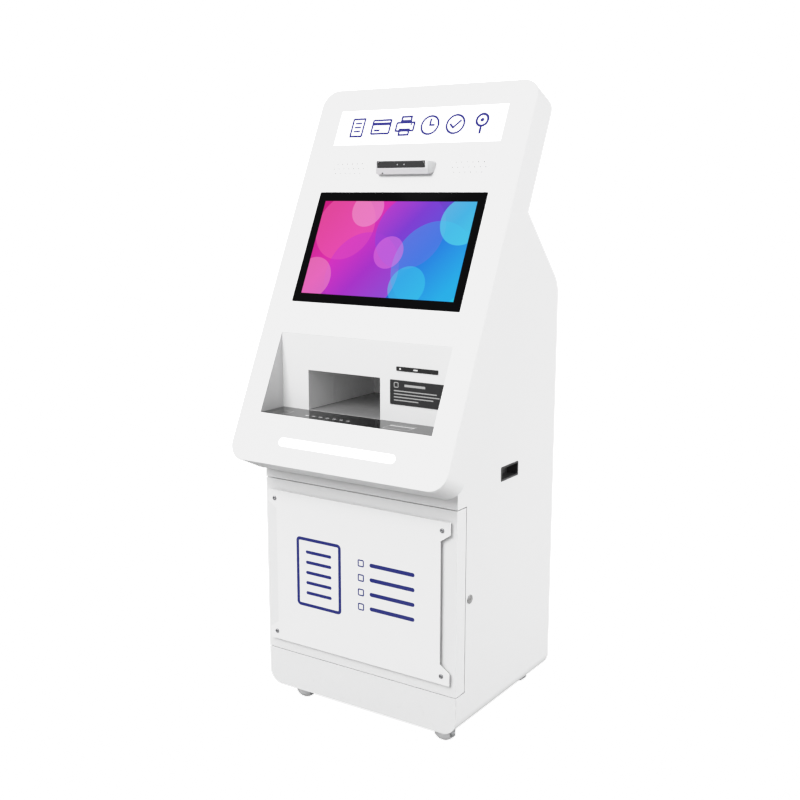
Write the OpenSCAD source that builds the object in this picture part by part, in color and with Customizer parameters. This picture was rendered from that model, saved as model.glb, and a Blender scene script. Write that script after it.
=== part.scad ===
// Self-service kiosk: a sheet-steel cabinet on four swivel casters, with a leaning head that
// carries a touch screen, a lit sign, a camera, speakers and a document recess.
// Millimetres, X across the front, +Y to the rear, +Z up.
// The origin is on the floor under the middle of the kiosk.

/* [Cabinet] */
// Width of the cabinet
cab_w = 612; // [580:1:660]
// Depth of the cabinet from the door face to the rear edge
cab_d = 528; // [515:1:600]
// Radius of the two rolled lower corners
cab_roll_r = 40; // [15:1:44]
// Thickness of the sheet steel
sheet_t = 1.5; // [1.2:0.1:2]
// Height of the rear wall where its line meets the rear slope
rear_wall_h = 1123; // [1100:1:1180]
// Angle of the rear slope above level
rear_slope = 46; // [42:1:52]
// Radius of the bend between the rear wall and the rear slope
rear_bend_r = 80; // [40:5:100]
// How far the rear panel is set in from the side walls' rear edges
rear_inset = 4; // [3.5:0.5:6]
// Depth of the folded edges beside the door openings
fold_d = 28; // [15:1:29]

/* [Head] */
// Width of the head
head_w = 674; // [650:1:740]
// Length of the head along its slope
head_len = 1074; // [1060:1:1150]
// Depth of the head from front face to back face
head_d = 87; // [80:1:95]
// Corner radius of the head's face
head_corner_r = 47.5; // [20:0.5:60]
// Lean of the head back from upright
head_tilt = 25; // [23:1:27]
// Height of the head's lower front edge above the cabinet underside
head_lip_h = 674.4; // [660:0.1:690]
// How far the head's lower front edge stands in front of the door face
head_overhang = 118; // [110:1:125]
// Width of the head's rear service window
head_window_w = 564; // [550:1:576]
// Lower edge of the rear service window along the head
head_window_low = 120; // [110:1:130]
// Upper edge of the rear service window along the head
head_window_high = 770; // [740:1:780]

/* [Screen] */
// Width of the touch glass
glass_w = 525.5; // [510:0.5:540]
// Height of the touch glass
glass_h = 317; // [305:1:330]
// Thickness of the touch glass
glass_t = 5; // [3:0.5:6]
// Middle of the screen along the head
screen_mid = 607.3; // [595:0.1:620]
// Width of the display module
lcd_w = 500; // [480:1:506]
// Height of the display module
lcd_h = 294; // [280:1:300]
// Thickness of the display module
lcd_t = 18; // [12:1:25]
// Width of each rail behind the display
rail_h = 20; // [12:1:30]
// Distance of the rails from the middle of the screen
rail_off = 90; // [60:1:110]

/* [Sign and light bar] */
// Width of the lit sign
sign_w = 528; // [480:1:560]
// Height of the lit sign
sign_h = 106; // [90:1:112]
// Lower edge of the sign along the head
sign_low = 904.7; // [895:0.1:915]
// Depth of the light box behind the sign
sign_box_d = 26; // [15:1:40]
// Width of the light bar
bar_w = 370; // [300:1:420]
// Height of the light bar
bar_h = 26; // [18:1:34]
// Middle of the light bar along the head
bar_mid = 64; // [58:1:72]
// Depth of the light bar behind the sheet
bar_d = 9; // [6:1:14]
// Width of the rim that holds a lit cover behind the sheet
cover_rim = 5; // [3:0.5:7]
// Thickness of the light boards
board_t = 1.6; // [1:0.1:2]

/* [Camera and speakers] */
// Width of the camera hood at its front
cam_face_w = 167; // [150:1:180]
// Width of the camera hood at its foot
cam_foot_w = 182; // [182:1:200]
// Radius of the camera hood's round ends, seen from the front
cam_end_r = 15; // [4:1:15]
// Height of the camera hood
cam_h = 35.5; // [33:0.5:42]
// Height of the sloping chin under the camera window
cam_chin_h = 15; // [10:0.5:16]
// How far the chin's lower edge lies behind the hood's front
cam_chin_in = 7; // [4:0.5:14]
// How far the hood's front stands in front of its foot
cam_reach = 21; // [19:0.5:30]
// Foot of the camera hood along the head
cam_low = 816.7; // [812:0.1:822]
// Width of the camera window
cam_win_w = 149; // [130:1:150]
// Height of the camera window
cam_win_h = 16.5; // [12:0.5:17]
// Distance between the two camera lenses
lens_pitch = 21; // [16:1:40]
// Diameter of a camera lens barrel
lens_d = 9; // [6:0.5:10]
// Middle of each speaker from the middle of the head
speaker_x = 189; // [175:1:200]
// Middle of the speakers along the head
speaker_mid = 835.5; // [830:0.5:840]
// Diameter of a sound hole
sound_hole_d = 3; // [1.5:0.5:4]
// Spacing of the sound holes along a row
sound_pitch = 16.4; // [12:0.1:18]
// Spacing of the rows of sound holes
sound_row = 14; // [10:0.5:16]
// Number of sound holes in a speaker's middle row
sound_n = 7; // [5:1:7]

/* [Document recess] */
// Width of the recess
recess_w = 537; // [500:1:545]
// Lower edge of the recess along the head
recess_low = 134.4; // [128:0.1:140]
// Depth of the recess floor
recess_d = 95; // [80:1:98]
// Thickness of the glass floor
tray_t = 4; // [3:0.5:6]
// Width of the paper outlet
outlet_w = 232; // [215:1:250]
// Height of the paper outlet
outlet_h = 108; // [80:1:115]
// Middle of the paper outlet across the recess
outlet_x = -64; // [-80:1:-40]
// Length of the chute between the recess and the printer
chute_len = 108; // [90:1:112]
// Width of the status strip
strip_w = 123.5; // [90:0.5:130]
// Height of the status strip
strip_h = 11; // [8:0.5:14]
// Middle of the status strip above the recess floor
strip_up = 137; // [130:1:150]
// Width of the notice plate
notice_w = 162; // [120:1:170]
// Height of the notice plate
notice_h = 63; // [50:1:80]
// Middle of the notice plate above the recess floor
notice_up = 76.3; // [60:0.1:85]
// Middle of the strip and the notice plate across the recess
notice_x = 165; // [160:1:175]
// Thickness of the strip and the notice plate
notice_t = 2; // [1:0.5:3]
// Width of the card reader under the glass floor
reader_w = 120; // [90:1:160]
// Depth of the card reader, front to back
reader_d = 46; // [30:1:50]
// Height of the card reader
reader_h = 22; // [15:1:28]
// Middle of the card reader across the recess
reader_x = 150; // [120:1:170]

/* [Front door] */
// Lower edge of the front door above the cabinet underside
door_low = 107.5; // [95:0.5:120]
// Height of the front door
door_h = 492.5; // [470:0.5:500]
// How far the door wraps round the cabinet sides
door_wrap = 43; // [38:1:50]
// Gap around the doors
door_gap = 2; // [2:0.1:3]
// Distance of a hinge pin from the two faces of its door
hinge_in = 6; // [5.5:0.5:7]
// Diameter of a hinge pin
hinge_pin_d = 6; // [4:0.5:6]
// Length of a hinge bush inside its door
bush_len = 12; // [8:1:20]
// Thickness of a hinge bracket
bracket_t = 3; // [2:0.5:5]
// Width of a hinge bracket
bracket_w = 34; // [26:1:50]
// Reach of a hinge bracket past its pin
bracket_past = 10; // [8:1:13]

/* [Poster plate] */
// Width of the poster plate
plate_w = 584; // [540:1:600]
// Height of the poster plate
plate_h = 431; // [400:1:450]
// Thickness of the poster plate
plate_t = 4; // [2:0.5:6]
// Gap between the poster plate and the door
plate_off = 7; // [4:0.5:12]
// Height of the side notches of the poster plate
notch_h = 326; // [280:1:340]
// Depth of the side notches
notch_d = 28; // [15:1:34]
// Height of the slanted ends of the side notches
notch_slant = 20; // [10:1:24]
// Distance of the screws from the edges of the plate
screw_in = 23; // [20:0.5:26]
// Diameter of a plate screw's head
screw_head_d = 12; // [9:0.5:14]
// Height of a plate screw's head
screw_head_h = 3; // [2:0.5:4]
// Diameter of a plate screw's shank
screw_d = 5; // [4:0.5:6]
// Diameter of a spacer behind the plate
spacer_d = 13; // [11:1:20]

/* [Locks] */
// Distance of the side lock behind the door face
lock_back = 64.8; // [62:0.1:70]
// Diameter of a lock's face
lock_face_d = 23; // [22:1:28]
// Height of a lock's face
lock_face_h = 2.5; // [1.5:0.5:3]
// Diameter of a lock's barrel
lock_barrel_d = 18; // [16:1:20]
// Length of a lock's barrel behind the sheet
lock_barrel_len = 20; // [15:1:24]
// Diameter of a lock's plug
lock_plug_d = 12; // [10:0.5:13]
// Length of a lock's cam from its axis
cam_len = 44; // [40:1:46]
// Width of a lock's cam
cam_bar_w = 16; // [12:1:18]
// Thickness of a lock's cam
cam_bar_t = 2.5; // [2:0.5:4]
// Diameter of the stud that carries the cam
cam_stud_d = 7; // [5:0.5:8]

/* [Side grips] */
// Width of a grip's rim
grip_w = 95; // [80:1:120]
// Height of a grip's rim
grip_h = 39; // [34:1:44]
// Depth of a grip's finger pocket
grip_d = 32; // [25:1:45]
// Middle of a grip behind the door face
grip_back = 266.5; // [240:0.5:300]
// Middle of a grip above the cabinet underside
grip_up = 646.3; // [640:0.1:648]
// Width of a grip's rim around its pocket
grip_rim = 3; // [2:0.5:5]
// Wall of a grip's pocket
grip_wall = 2; // [1.5:0.1:3]

/* [Rear door and vents] */
// Width of the rear door
rear_door_w = 480; // [440:1:500]
// Height of the rear door
rear_door_h = 880; // [840:1:900]
// Lower edge of the rear door above the cabinet underside
rear_door_low = 140; // [130:1:150]
// Depth of the rear door's folded edges
rear_fold_d = 15; // [12:1:16]
// Length of a vent slot
vent_len = 120; // [80:1:150]
// Height of a vent slot
vent_h = 5; // [3:0.5:6]
// Spacing of the vent slots
vent_pitch = 16; // [12:1:20]
// Number of vent slots in each column of the rear door
vent_rows = 9; // [4:1:12]

/* [Fan and mains] */
// Width of the fan
fan_w = 92; // [80:1:100]
// Depth of the fan
fan_d = 25; // [20:1:30]
// Number of fan blades
fan_blades = 7; // [5:1:9]
// Diameter of the fan's shaft
fan_shaft_d = 4; // [3:0.5:5]
// Middle of the mains inlet from the middle of the cabinet
inlet_x = -180; // [-200:1:-150]
// Middle of the mains inlet above the cabinet underside
inlet_up = 80; // [70:1:90]
// Tilt of the mains switch rocker to either side
rocker_tilt = 8; // [5:1:10]

/* [Casters] */
// Height of the cabinet underside above the floor
caster_h = 54; // [53:1:62]
// Diameter of a caster wheel
wheel_d = 44; // [38:1:45]
// Width of a caster wheel
wheel_w = 48; // [43:1:50]
// Distance of the front casters from the middle of the cabinet
caster_x = 233; // [215:1:240]
// Distance of the rear casters from the middle of the cabinet
caster_rear_x = 221; // [195:1:240]
// Distance of the casters from the front and rear faces
caster_in = 50; // [45:1:60]
// Trail of a wheel behind its swivel
caster_trail = 18; // [16:1:19]
// Width of a caster's top plate
caster_plate_w = 60; // [58:1:66]
// Thickness of a caster's top plate
caster_plate_t = 2.5; // [2:0.5:3]
// Diameter of a wheel's axle
axle_d = 8; // [6:0.5:9]
// Diameter of a caster's kingpin
kingpin_d = 8; // [6:0.5:9]
// Thickness of a fork leg
fork_t = 3; // [2:0.5:4]

/* [Inside units] */
// Width of the printer
printer_w = 400; // [380:1:430]
// Depth of the printer
printer_d = 352; // [330:1:354]
// Height of the printer
printer_h = 250; // [230:1:280]
// Wall of the printer's case
printer_wall = 3; // [2:0.5:4]
// Depth of the printer's paper bay
bay_d = 200; // [150:1:240]
// Height of the paper bay's floor above the shelf
bay_up = 96; // [85:1:100]
// Width of the shelf's support rails
shelf_rail_w = 25; // [15:1:28]
// Width of the computer
pc_w = 240; // [200:1:260]
// Depth of the computer
pc_d = 200; // [160:1:220]
// Height of the computer
pc_h = 80; // [50:1:90]
// Width of the power supply
psu_w = 160; // [120:1:180]
// Depth of the power supply
psu_d = 98; // [80:1:120]
// Height of the power supply
psu_h = 50; // [40:1:70]

/* [Clearances] */
// Gap around covers that sit in an opening
fit_gap = 0.4; // [0.2:0.1:0.6]
// Gap between a pin and its running bore, on the radius
run_gap = 0.05; // [0.02:0.01:0.1]
// Gap between a fixed pin and its hole, on the radius
seat_gap = 0.02; // [0.01:0.01:0.05]
// Gap between flat faces that turn past each other
turn_gap = 0.3; // [0.3:0.1:0.6]

/* [Hidden] */
$fn = 48;

white_paint = "whitesmoke";
dark_plastic = [0.1, 0.1, 0.11];
grey_metal = [0.62, 0.63, 0.65];

// A cut reaches this far past the faces that it opens
past = 1;
half_w = cab_w / 2;
front_y = head_overhang - (cab_d + head_overhang) / 2;
rear_y = front_y + cab_d;
base_z = caster_h;
head_y = front_y - head_overhang;
head_z = base_z + head_lip_h;
door_z0 = base_z + door_low;
door_z1 = door_z0 + door_h;

// A point on the head's front face, as [y, z], at a distance up its slope
function on_face(v) = [head_y + v * sin(head_tilt), head_z + v * cos(head_tilt)];
// The head's back plane, as a point and the depth at any height
back_foot = [head_y + head_d * cos(head_tilt), head_z - head_d * sin(head_tilt)];
function back_plane_y(z) = back_foot[0] + (z - back_foot[1]) * tan(head_tilt);
front_top_z = back_foot[1] + (front_y - back_foot[0]) / tan(head_tilt);

function arc(c, r, a0, a1, n = 14) =
  [for (i = [0:n]) c + r * [cos(a0 + (a1 - a0) * i / n), sin(a0 + (a1 - a0) * i / n)]];
function flip(points) = [for (i = [len(points) - 1:-1:0]) points[i]];
function round_rect(w, h, r, n = 8) = concat(
  arc([w / 2 - r, h / 2 - r], r, 0, 90, n), arc([r - w / 2, h / 2 - r], r, 90, 180, n),
  arc([r - w / 2, r - h / 2], r, 180, 270, n), arc([w / 2 - r, r - h / 2], r, 270, 360, n));
// A slot with round ends
function slot_outline(w, h) = concat(
  arc([(w - h) / 2, 0], h / 2, -90, 90, 6), arc([(h - w) / 2, 0], h / 2, 90, 270, 6));

// The cabinet from the front: sides and rolled bottom, set in by i
wrap_top = head_z + head_len;
function wrap_path(i) = concat(
  [[i - half_w, wrap_top]],
  arc([cab_roll_r - half_w, base_z + cab_roll_r], cab_roll_r - i, 180, 270),
  arc([half_w - cab_roll_r, base_z + cab_roll_r], cab_roll_r - i, 270, 360),
  [[half_w - i, wrap_top]]);

// The cabinet's rear from the side, from the floor up to the head, set in by i
// The upright wall always reaches past the rear door's upper hinge
hinge_head_h = 2;
bend_turn = 90 - rear_slope;
bend_run = rear_bend_r * tan(bend_turn / 2);
rear_hinge_top = rear_door_low + rear_door_h + door_gap + bracket_t + hinge_head_h + turn_gap;
rear_wall_top = max(rear_wall_h, rear_hinge_top + bend_run);
bend_centre = [rear_y - rear_bend_r, base_z + rear_wall_top - bend_run];
function bend_end(i) =
  bend_centre + (rear_bend_r - i) * [sin(rear_slope), cos(rear_slope)];
function slope_run(p) =
  (p[0] - back_plane_y(p[1])) / (cos(rear_slope) + sin(rear_slope) * tan(head_tilt));
function slope_top(p) = p + slope_run(p) * [-cos(rear_slope), sin(rear_slope)];
function rear_path(i, z0) = concat(
  [[rear_y - i, z0]],
  arc(bend_centre, rear_bend_r - i, 0, bend_turn),
  [slope_top(bend_end(i))]);
side_outline = concat(
  [[front_y, front_top_z], [front_y, base_z - past]], rear_path(0, base_z - past));

module box(x, y, z) translate([x[0], y[0], z[0]]) cube([x[1] - x[0], y[1] - y[0], z[1] - z[0]]);
module along_x(x0, x1) translate([x0, 0, 0]) rotate([90, 0, 90]) linear_extrude(x1 - x0) children();
module along_y(y0, y1) translate([0, y1, 0]) rotate([90, 0, 0]) linear_extrude(y1 - y0) children();
module rod(d, z0, z1) translate([0, 0, z0]) cylinder(d = d, h = z1 - z0);
// On the head: x across, y into its depth from the front face, z up its slope
module on_head() translate([0, head_y, head_z]) rotate([-head_tilt, 0, 0]) children();
// A rounded plate on the head, with its middle at height v
module head_plate(w, h, v, r, y0, y1, n = 6)
  translate([0, 0, v]) along_y(y0, y1) polygon(round_rect(w, h, r, n));
// A bar with round ends on the head
module head_bar(w, h, v, y0, y1)
  translate([0, 0, v]) along_y(y0, y1) polygon(slot_outline(w, h));
// Keeps what lies behind the head's front sheet
module behind_sheet(gap = 0) intersection() {
  children();
  on_head() box([-head_w, head_w], [sheet_t + gap, 3 * head_d], [-head_len, 2 * head_len]);
}
// A sheet case that is open underneath
module case_shell(x, y, z, wall) difference() {
  box(x, y, z);
  box([x[0] + wall, x[1] - wall], [y[0] + wall, y[1] - wall], [z[0] - past, z[1] - wall]);
}

// Cabinet walls

// The inner end of a lock's barrel, from the outer face of its sheet
lock_inner = -sheet_t - lock_barrel_len;
lock_x = half_w;
lock_y = front_y + lock_back;
lock_z = (door_z0 + door_z1) / 2;
grip_y = front_y + grip_back;
grip_z = base_z + grip_up;
pocket_w = grip_w - 2 * grip_rim;
pocket_h = grip_h - 2 * grip_rim;

module cabinet_wrap() color(white_paint) difference() {
  intersection() {
    along_y(front_y + sheet_t, rear_y + past)
      polygon(concat(wrap_path(0), flip(wrap_path(sheet_t))));
    along_x(-half_w - past, half_w + past) polygon(side_outline);
  }
  box([-cab_w, cab_w], [front_y - past, front_y + door_wrap + door_gap],
    [door_z0 - door_gap, door_z1 + door_gap]);
  box([-cab_w, cab_w],
    [grip_y - pocket_w / 2 - fit_gap, grip_y + pocket_w / 2 + fit_gap],
    [grip_z - pocket_h / 2 - fit_gap, grip_z + pocket_h / 2 + fit_gap]);
  translate([lock_x, lock_y, lock_z]) rotate([0, 90, 0])
    rod(lock_barrel_d + 2 * seat_gap, -sheet_t - past, past);
}

// A front strip with a folded edge at height z, beside the door
module front_fold(z0, z1)
  box([sheet_t - half_w, half_w - sheet_t], [front_y + sheet_t, front_y + fold_d], [z0, z1]);

module kick_panel() color(white_paint) {
  difference() {
    along_y(front_y, front_y + sheet_t) polygon(wrap_path(0));
    box([-cab_w, cab_w], [front_y - past, front_y + sheet_t + past],
      [door_z0 - door_gap, wrap_top + past]);
  }
  front_fold(door_z0 - door_gap - sheet_t, door_z0 - door_gap);
}

module header_panel() color(white_paint) {
  intersection() {
    box([-half_w, half_w], [front_y, front_y + sheet_t], [door_z1 + door_gap, wrap_top]);
    along_x(-half_w, half_w) polygon(side_outline);
  }
  front_fold(door_z1 + door_gap, door_z1 + door_gap + sheet_t);
}

// Rear wall, its slope and what is cut in them

rear_face = rear_y - rear_inset;
rear_inner = rear_face - sheet_t;
rear_z0 = base_z + rear_door_low;
rear_z1 = rear_z0 + rear_door_h;
rear_lock_z = (rear_z0 + rear_z1) / 2;
rear_lock_in = 26;
rear_lock_x = rear_lock_in - rear_door_w / 2;
inlet_z = base_z + inlet_up;
inlet_w = 50;
inlet_h = 28;
inlet_d = 30;
slope_mid = (bend_end(rear_inset + sheet_t) + slope_top(bend_end(rear_inset + sheet_t))) / 2;
// On the rear slope's inner face: y down the slope, z outwards
module on_slope() translate([0, slope_mid[0], slope_mid[1]]) rotate([-rear_slope, 0, 0]) children();

// A folded tab beside the rear door, which the lock's cam turns behind
strike_h = 60;
strike_gap = 1;
strike_x = -rear_door_w / 2 - door_gap;
strike_y = rear_face + lock_inner - turn_gap + strike_gap;
module rear_strike() box([strike_x - sheet_t, strike_x], [strike_y, rear_inner],
  [rear_lock_z - strike_h / 2, rear_lock_z + strike_h / 2]);

module rear_panel() color(white_paint) difference() {
  union() {
    intersection() {
      along_x(sheet_t - half_w, half_w - sheet_t) polygon(concat(
        rear_path(rear_inset, base_z), flip(rear_path(rear_inset + sheet_t, base_z))));
      along_y(front_y, rear_y) polygon(wrap_path(sheet_t));
    }
    rear_strike();
  }
  box([-rear_door_w / 2 - door_gap, rear_door_w / 2 + door_gap],
    [rear_inner - past, rear_face + past], [rear_z0 - door_gap, rear_z1 + door_gap]);
  box([inlet_x - inlet_w / 2 - fit_gap, inlet_x + inlet_w / 2 + fit_gap],
    [rear_inner - past, rear_face + past],
    [inlet_z - inlet_h / 2 - fit_gap, inlet_z + inlet_h / 2 + fit_gap]);
  on_slope() for (row = [-2:2])
    translate([0, row * vent_pitch, -past]) linear_extrude(sheet_t + 2 * past)
      polygon(slot_outline(fan_w - 2 * vent_h, vent_h));
}

// Head

sign_mid = sign_low + sign_h / 2;
recess_high = recess_low + recess_d / sin(head_tilt);
flat_r = 3;
head_corner_n = 16;
cam_mid = cam_low + cam_h / cos(head_tilt) / 2;
cable_hole_d = 16;

module head_fascia() color(white_paint) on_head() difference() {
  head_plate(head_w, head_len, head_len / 2, head_corner_r, 0, head_d, head_corner_n);
  head_plate(head_w - 2 * sheet_t, head_len - 2 * sheet_t, head_len / 2, head_corner_r - sheet_t,
    sheet_t, head_d + past, head_corner_n);
  head_plate(glass_w + 2 * fit_gap, glass_h + 2 * fit_gap, screen_mid, flat_r, -past, sheet_t + past);
  head_plate(sign_w + 2 * fit_gap, sign_h + 2 * fit_gap, sign_mid, flat_r, -past, sheet_t + past);
  head_bar(bar_w + 2 * fit_gap, bar_h + 2 * fit_gap, bar_mid, -past, sheet_t + past);
  box([-recess_w / 2, recess_w / 2], [-past, sheet_t + past], [recess_low, recess_high]);
  translate([0, sheet_t + past, cam_mid]) rotate([90, 0, 0]) rod(cable_hole_d, 0, sheet_t + 2 * past);
  for (side = [-1, 1], row = [-1:1], i = [0:sound_n - 1 - abs(row)])
    translate([side * speaker_x + (i - (sound_n - 1 - abs(row)) / 2) * sound_pitch, sheet_t + past,
      speaker_mid + row * sound_row])
      rotate([90, 0, 0]) cylinder(d = sound_hole_d, h = sheet_t + 2 * past, $fn = 16);
}

module head_back() color(white_paint) on_head() difference() {
  head_plate(head_w - 2 * sheet_t, head_len - 2 * sheet_t, head_len / 2, head_corner_r - sheet_t,
    head_d - sheet_t, head_d, head_corner_n);
  box([-head_window_w / 2, head_window_w / 2], [head_d - sheet_t - past, head_d + past],
    [head_window_low, head_window_high]);
}

// Document recess: the floor is level and the rear wall upright

tray_y = on_face(recess_low)[0];
tray_z = on_face(recess_low)[1];
wall_y = tray_y + recess_d;
recess_top_z = on_face(recess_high)[1];
recess_half = recess_w / 2;
reader_in = 12;
reader_y = wall_y - reader_d / 2 - reader_in;
outlet_span = [outlet_x - outlet_w / 2, outlet_x + outlet_w / 2];
outlet_z = [tray_z, tray_z + outlet_h];
chute_y = [wall_y + sheet_t, wall_y + sheet_t + chute_len];

module recess_liner() color(white_paint) difference() {
  behind_sheet() union() {
    box([-recess_half - sheet_t, recess_half + sheet_t], [wall_y, wall_y + sheet_t],
      [tray_z - tray_t - sheet_t, recess_top_z + past]);
    for (side = [0, 1]) mirror([side, 0, 0])
      box([recess_half, recess_half + sheet_t], [tray_y - head_d, wall_y],
        [tray_z - tray_t - sheet_t, recess_top_z]);
    box([-recess_half, recess_half], [tray_y - head_d, wall_y],
      [tray_z - tray_t - sheet_t, tray_z - tray_t]);
  }
  box(outlet_span, [wall_y - past, wall_y + sheet_t + past], outlet_z);
  box([reader_x - reader_w / 2 - fit_gap, reader_x + reader_w / 2 + fit_gap],
    [reader_y - reader_d / 2 - fit_gap, reader_y + reader_d / 2 + fit_gap],
    [tray_z - tray_t - sheet_t - past, tray_z - tray_t + past]);
}

module tray_glass() color(dark_plastic) behind_sheet(fit_gap)
  box([fit_gap - recess_half, recess_half - fit_gap], [tray_y - head_d, wall_y - fit_gap],
    [tray_z - tray_t, tray_z]);

module card_reader() color([0.25, 0.25, 0.27])
  box([reader_x - reader_w / 2, reader_x + reader_w / 2],
    [reader_y - reader_d / 2, reader_y + reader_d / 2], [tray_z - tray_t - reader_h, tray_z - tray_t]);

module outlet_chute() color([0.3, 0.3, 0.31]) difference() {
  union() {
    box([outlet_span[0] - sheet_t, outlet_span[1] + sheet_t], chute_y,
      [outlet_z[0] - sheet_t, outlet_z[1] + sheet_t]);
    box([outlet_span[0] - fold_d / 2, outlet_span[1] + fold_d / 2], [chute_y[0], chute_y[0] + sheet_t],
      [outlet_z[0] - sheet_t, outlet_z[1] + fold_d / 2]);
  }
  box(outlet_span, [chute_y[0] - past, chute_y[1] + past], outlet_z);
}

// A small plate on the recess's rear wall
notice_r = 1.5;
module wall_plate(w, h, up) translate([notice_x, 0, tray_z + up])
  along_y(wall_y - notice_t, wall_y) polygon(round_rect(w, h, notice_r));
module notice_plate() color([0.22, 0.22, 0.23]) wall_plate(notice_w, notice_h, notice_up);
module status_strip() color(dark_plastic) wall_plate(strip_w, strip_h, strip_up);

// Screen

lcd_y = [glass_t, glass_t + lcd_t];
rail_post_w = 18;
rail_post_in = 4;
rail_post_x = glass_w / 2 + fit_gap + rail_post_in;
rail_t = 2;

module touch_glass() color(dark_plastic) on_head()
  head_plate(glass_w, glass_h, screen_mid, flat_r, 0, glass_t);

module lcd_module() color(grey_metal) on_head()
  head_plate(lcd_w, lcd_h, screen_mid, flat_r, lcd_y[0], lcd_y[1]);

module screen_rails() color(grey_metal) on_head() for (side = [-1, 1]) {
  z = [screen_mid + side * rail_off - rail_h / 2, screen_mid + side * rail_off + rail_h / 2];
  box([-rail_post_x - rail_post_w, rail_post_x + rail_post_w], [lcd_y[1], lcd_y[1] + rail_t], z);
  for (end = [-1, 1])
    translate([end * (rail_post_x + rail_post_w / 2), 0, 0])
      box([-rail_post_w / 2, rail_post_w / 2], [sheet_t, lcd_y[1]], z);
}

// Lit sign and light bar

sign_t = 1.5;
box_wall = 1.2;
box_w = sign_w + 2 * (cover_rim + fit_gap + box_wall);
box_h = sign_h + 2 * (cover_rim + fit_gap + box_wall);
box_y = [sheet_t, sheet_t + sign_box_d];

module sign_panel() color("white") on_head() {
  head_plate(sign_w, sign_h, sign_mid, flat_r, 0, sheet_t);
  head_plate(sign_w + 2 * cover_rim, sign_h + 2 * cover_rim, sign_mid, flat_r, sheet_t, sheet_t + sign_t);
}

module sign_box() color(grey_metal) on_head() difference() {
  head_plate(box_w, box_h, sign_mid, flat_r + box_wall, box_y[0], box_y[1]);
  head_plate(box_w - 2 * box_wall, box_h - 2 * box_wall, sign_mid, flat_r,
    box_y[0] - past, box_y[1] - box_wall);
}

module sign_board() color([0.9, 0.9, 0.85]) on_head()
  head_plate(sign_w, sign_h, sign_mid, flat_r, box_y[1] - box_wall - board_t, box_y[1] - box_wall);

module light_bar() color("white") on_head() difference() {
  union() {
    head_bar(bar_w, bar_h, bar_mid, 0, sheet_t);
    head_bar(bar_w + 2 * cover_rim, bar_h + 2 * cover_rim, bar_mid, sheet_t, sheet_t + bar_d);
  }
  head_bar(bar_w - 2 * sign_t, bar_h - 2 * sign_t, bar_mid, sheet_t + sign_t, sheet_t + bar_d + past);
}

module light_bar_board() color([0.9, 0.9, 0.85]) on_head()
  head_bar(bar_w + 2 * cover_rim, bar_h + 2 * cover_rim, bar_mid,
    sheet_t + bar_d, sheet_t + bar_d + board_t);

// Camera: an upright window in a hood that stands on the leaning face

cam_foot = on_face(cam_low);
cam_front = cam_foot[0] - cam_reach;
cam_rear = cam_foot[0] + cam_h * tan(head_tilt);
cam_top = cam_foot[1] + cam_h;
cam_corner_r = 8;
cam_win_t = 2;
cam_win_r = 2;
cam_win_z = cam_foot[1] + (cam_chin_h + cam_h) / 2;
cam_room_d = 14;
cam_room_y = [cam_front + cam_win_t, cam_front + cam_win_t + cam_room_d];
// The window rests on a ledge this wide at its ends and at its long edges
cam_ledge = [8, 1.5];
cam_room_w = cam_win_w - 2 * cam_ledge[0];
cam_room_h = cam_win_h - 2 * cam_ledge[1];

module camera_hood() color(white_paint) difference() {
  intersection() {
    along_x(-cam_foot_w / 2, cam_foot_w / 2) polygon([
      cam_foot, [cam_rear, cam_top], [cam_front, cam_top], [cam_front, cam_foot[1] + cam_chin_h],
      [cam_front + cam_chin_in, cam_foot[1]]]);
    translate([0, 0, cam_foot[1] - past]) linear_extrude(cam_h + 2 * past) polygon(concat(
      arc([cam_corner_r - cam_face_w / 2, cam_front + cam_corner_r], cam_corner_r, 180, 270),
      arc([cam_face_w / 2 - cam_corner_r, cam_front + cam_corner_r], cam_corner_r, 270, 360),
      [[cam_foot_w / 2, cam_rear], [-cam_foot_w / 2, cam_rear]]));
    translate([0, 0, cam_foot[1] + cam_h / 2]) along_y(cam_front - past, cam_rear + past)
      polygon(round_rect(cam_foot_w, cam_h, cam_end_r));
  }
  translate([0, 0, cam_win_z]) {
    along_y(cam_front - past, cam_front + cam_win_t)
      polygon(round_rect(cam_win_w + 2 * fit_gap, cam_win_h + 2 * fit_gap, cam_win_r));
    box([-cam_room_w / 2, cam_room_w / 2], [cam_front, cam_room_y[1]], [-cam_room_h / 2, cam_room_h / 2]);
  }
}

module camera_window() color(dark_plastic) translate([0, 0, cam_win_z])
  along_y(cam_front, cam_front + cam_win_t) polygon(round_rect(cam_win_w, cam_win_h, cam_win_r));

module camera_lenses() color([0.05, 0.05, 0.06]) for (side = [-1, 1])
  translate([side * lens_pitch / 2, cam_room_y[1] - board_t, cam_win_z]) rotate([90, 0, 0])
    rod(lens_d, 0, cam_room_d - board_t - fit_gap);

module camera_board() color("darkgreen")
  box([fit_gap - cam_room_w / 2, cam_room_w / 2 - fit_gap], [cam_room_y[1] - board_t, cam_room_y[1]],
    [cam_win_z - cam_room_h / 2 + fit_gap, cam_win_z + cam_room_h / 2 - fit_gap]);

// Speakers behind the sound holes

// Each speaker reaches past the outer sound holes by these shares of their spacings
sound_past = [0.5, 0.8];
speaker_w = (sound_n - 1 + 2 * sound_past[0]) * sound_pitch;
speaker_h = (2 + 2 * sound_past[1]) * sound_row;
speaker_r = 6;
speaker_edge = 6;
speaker_flange = 3;
speaker_d = 16;
magnet_d = 34;
magnet_h = 12;

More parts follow.
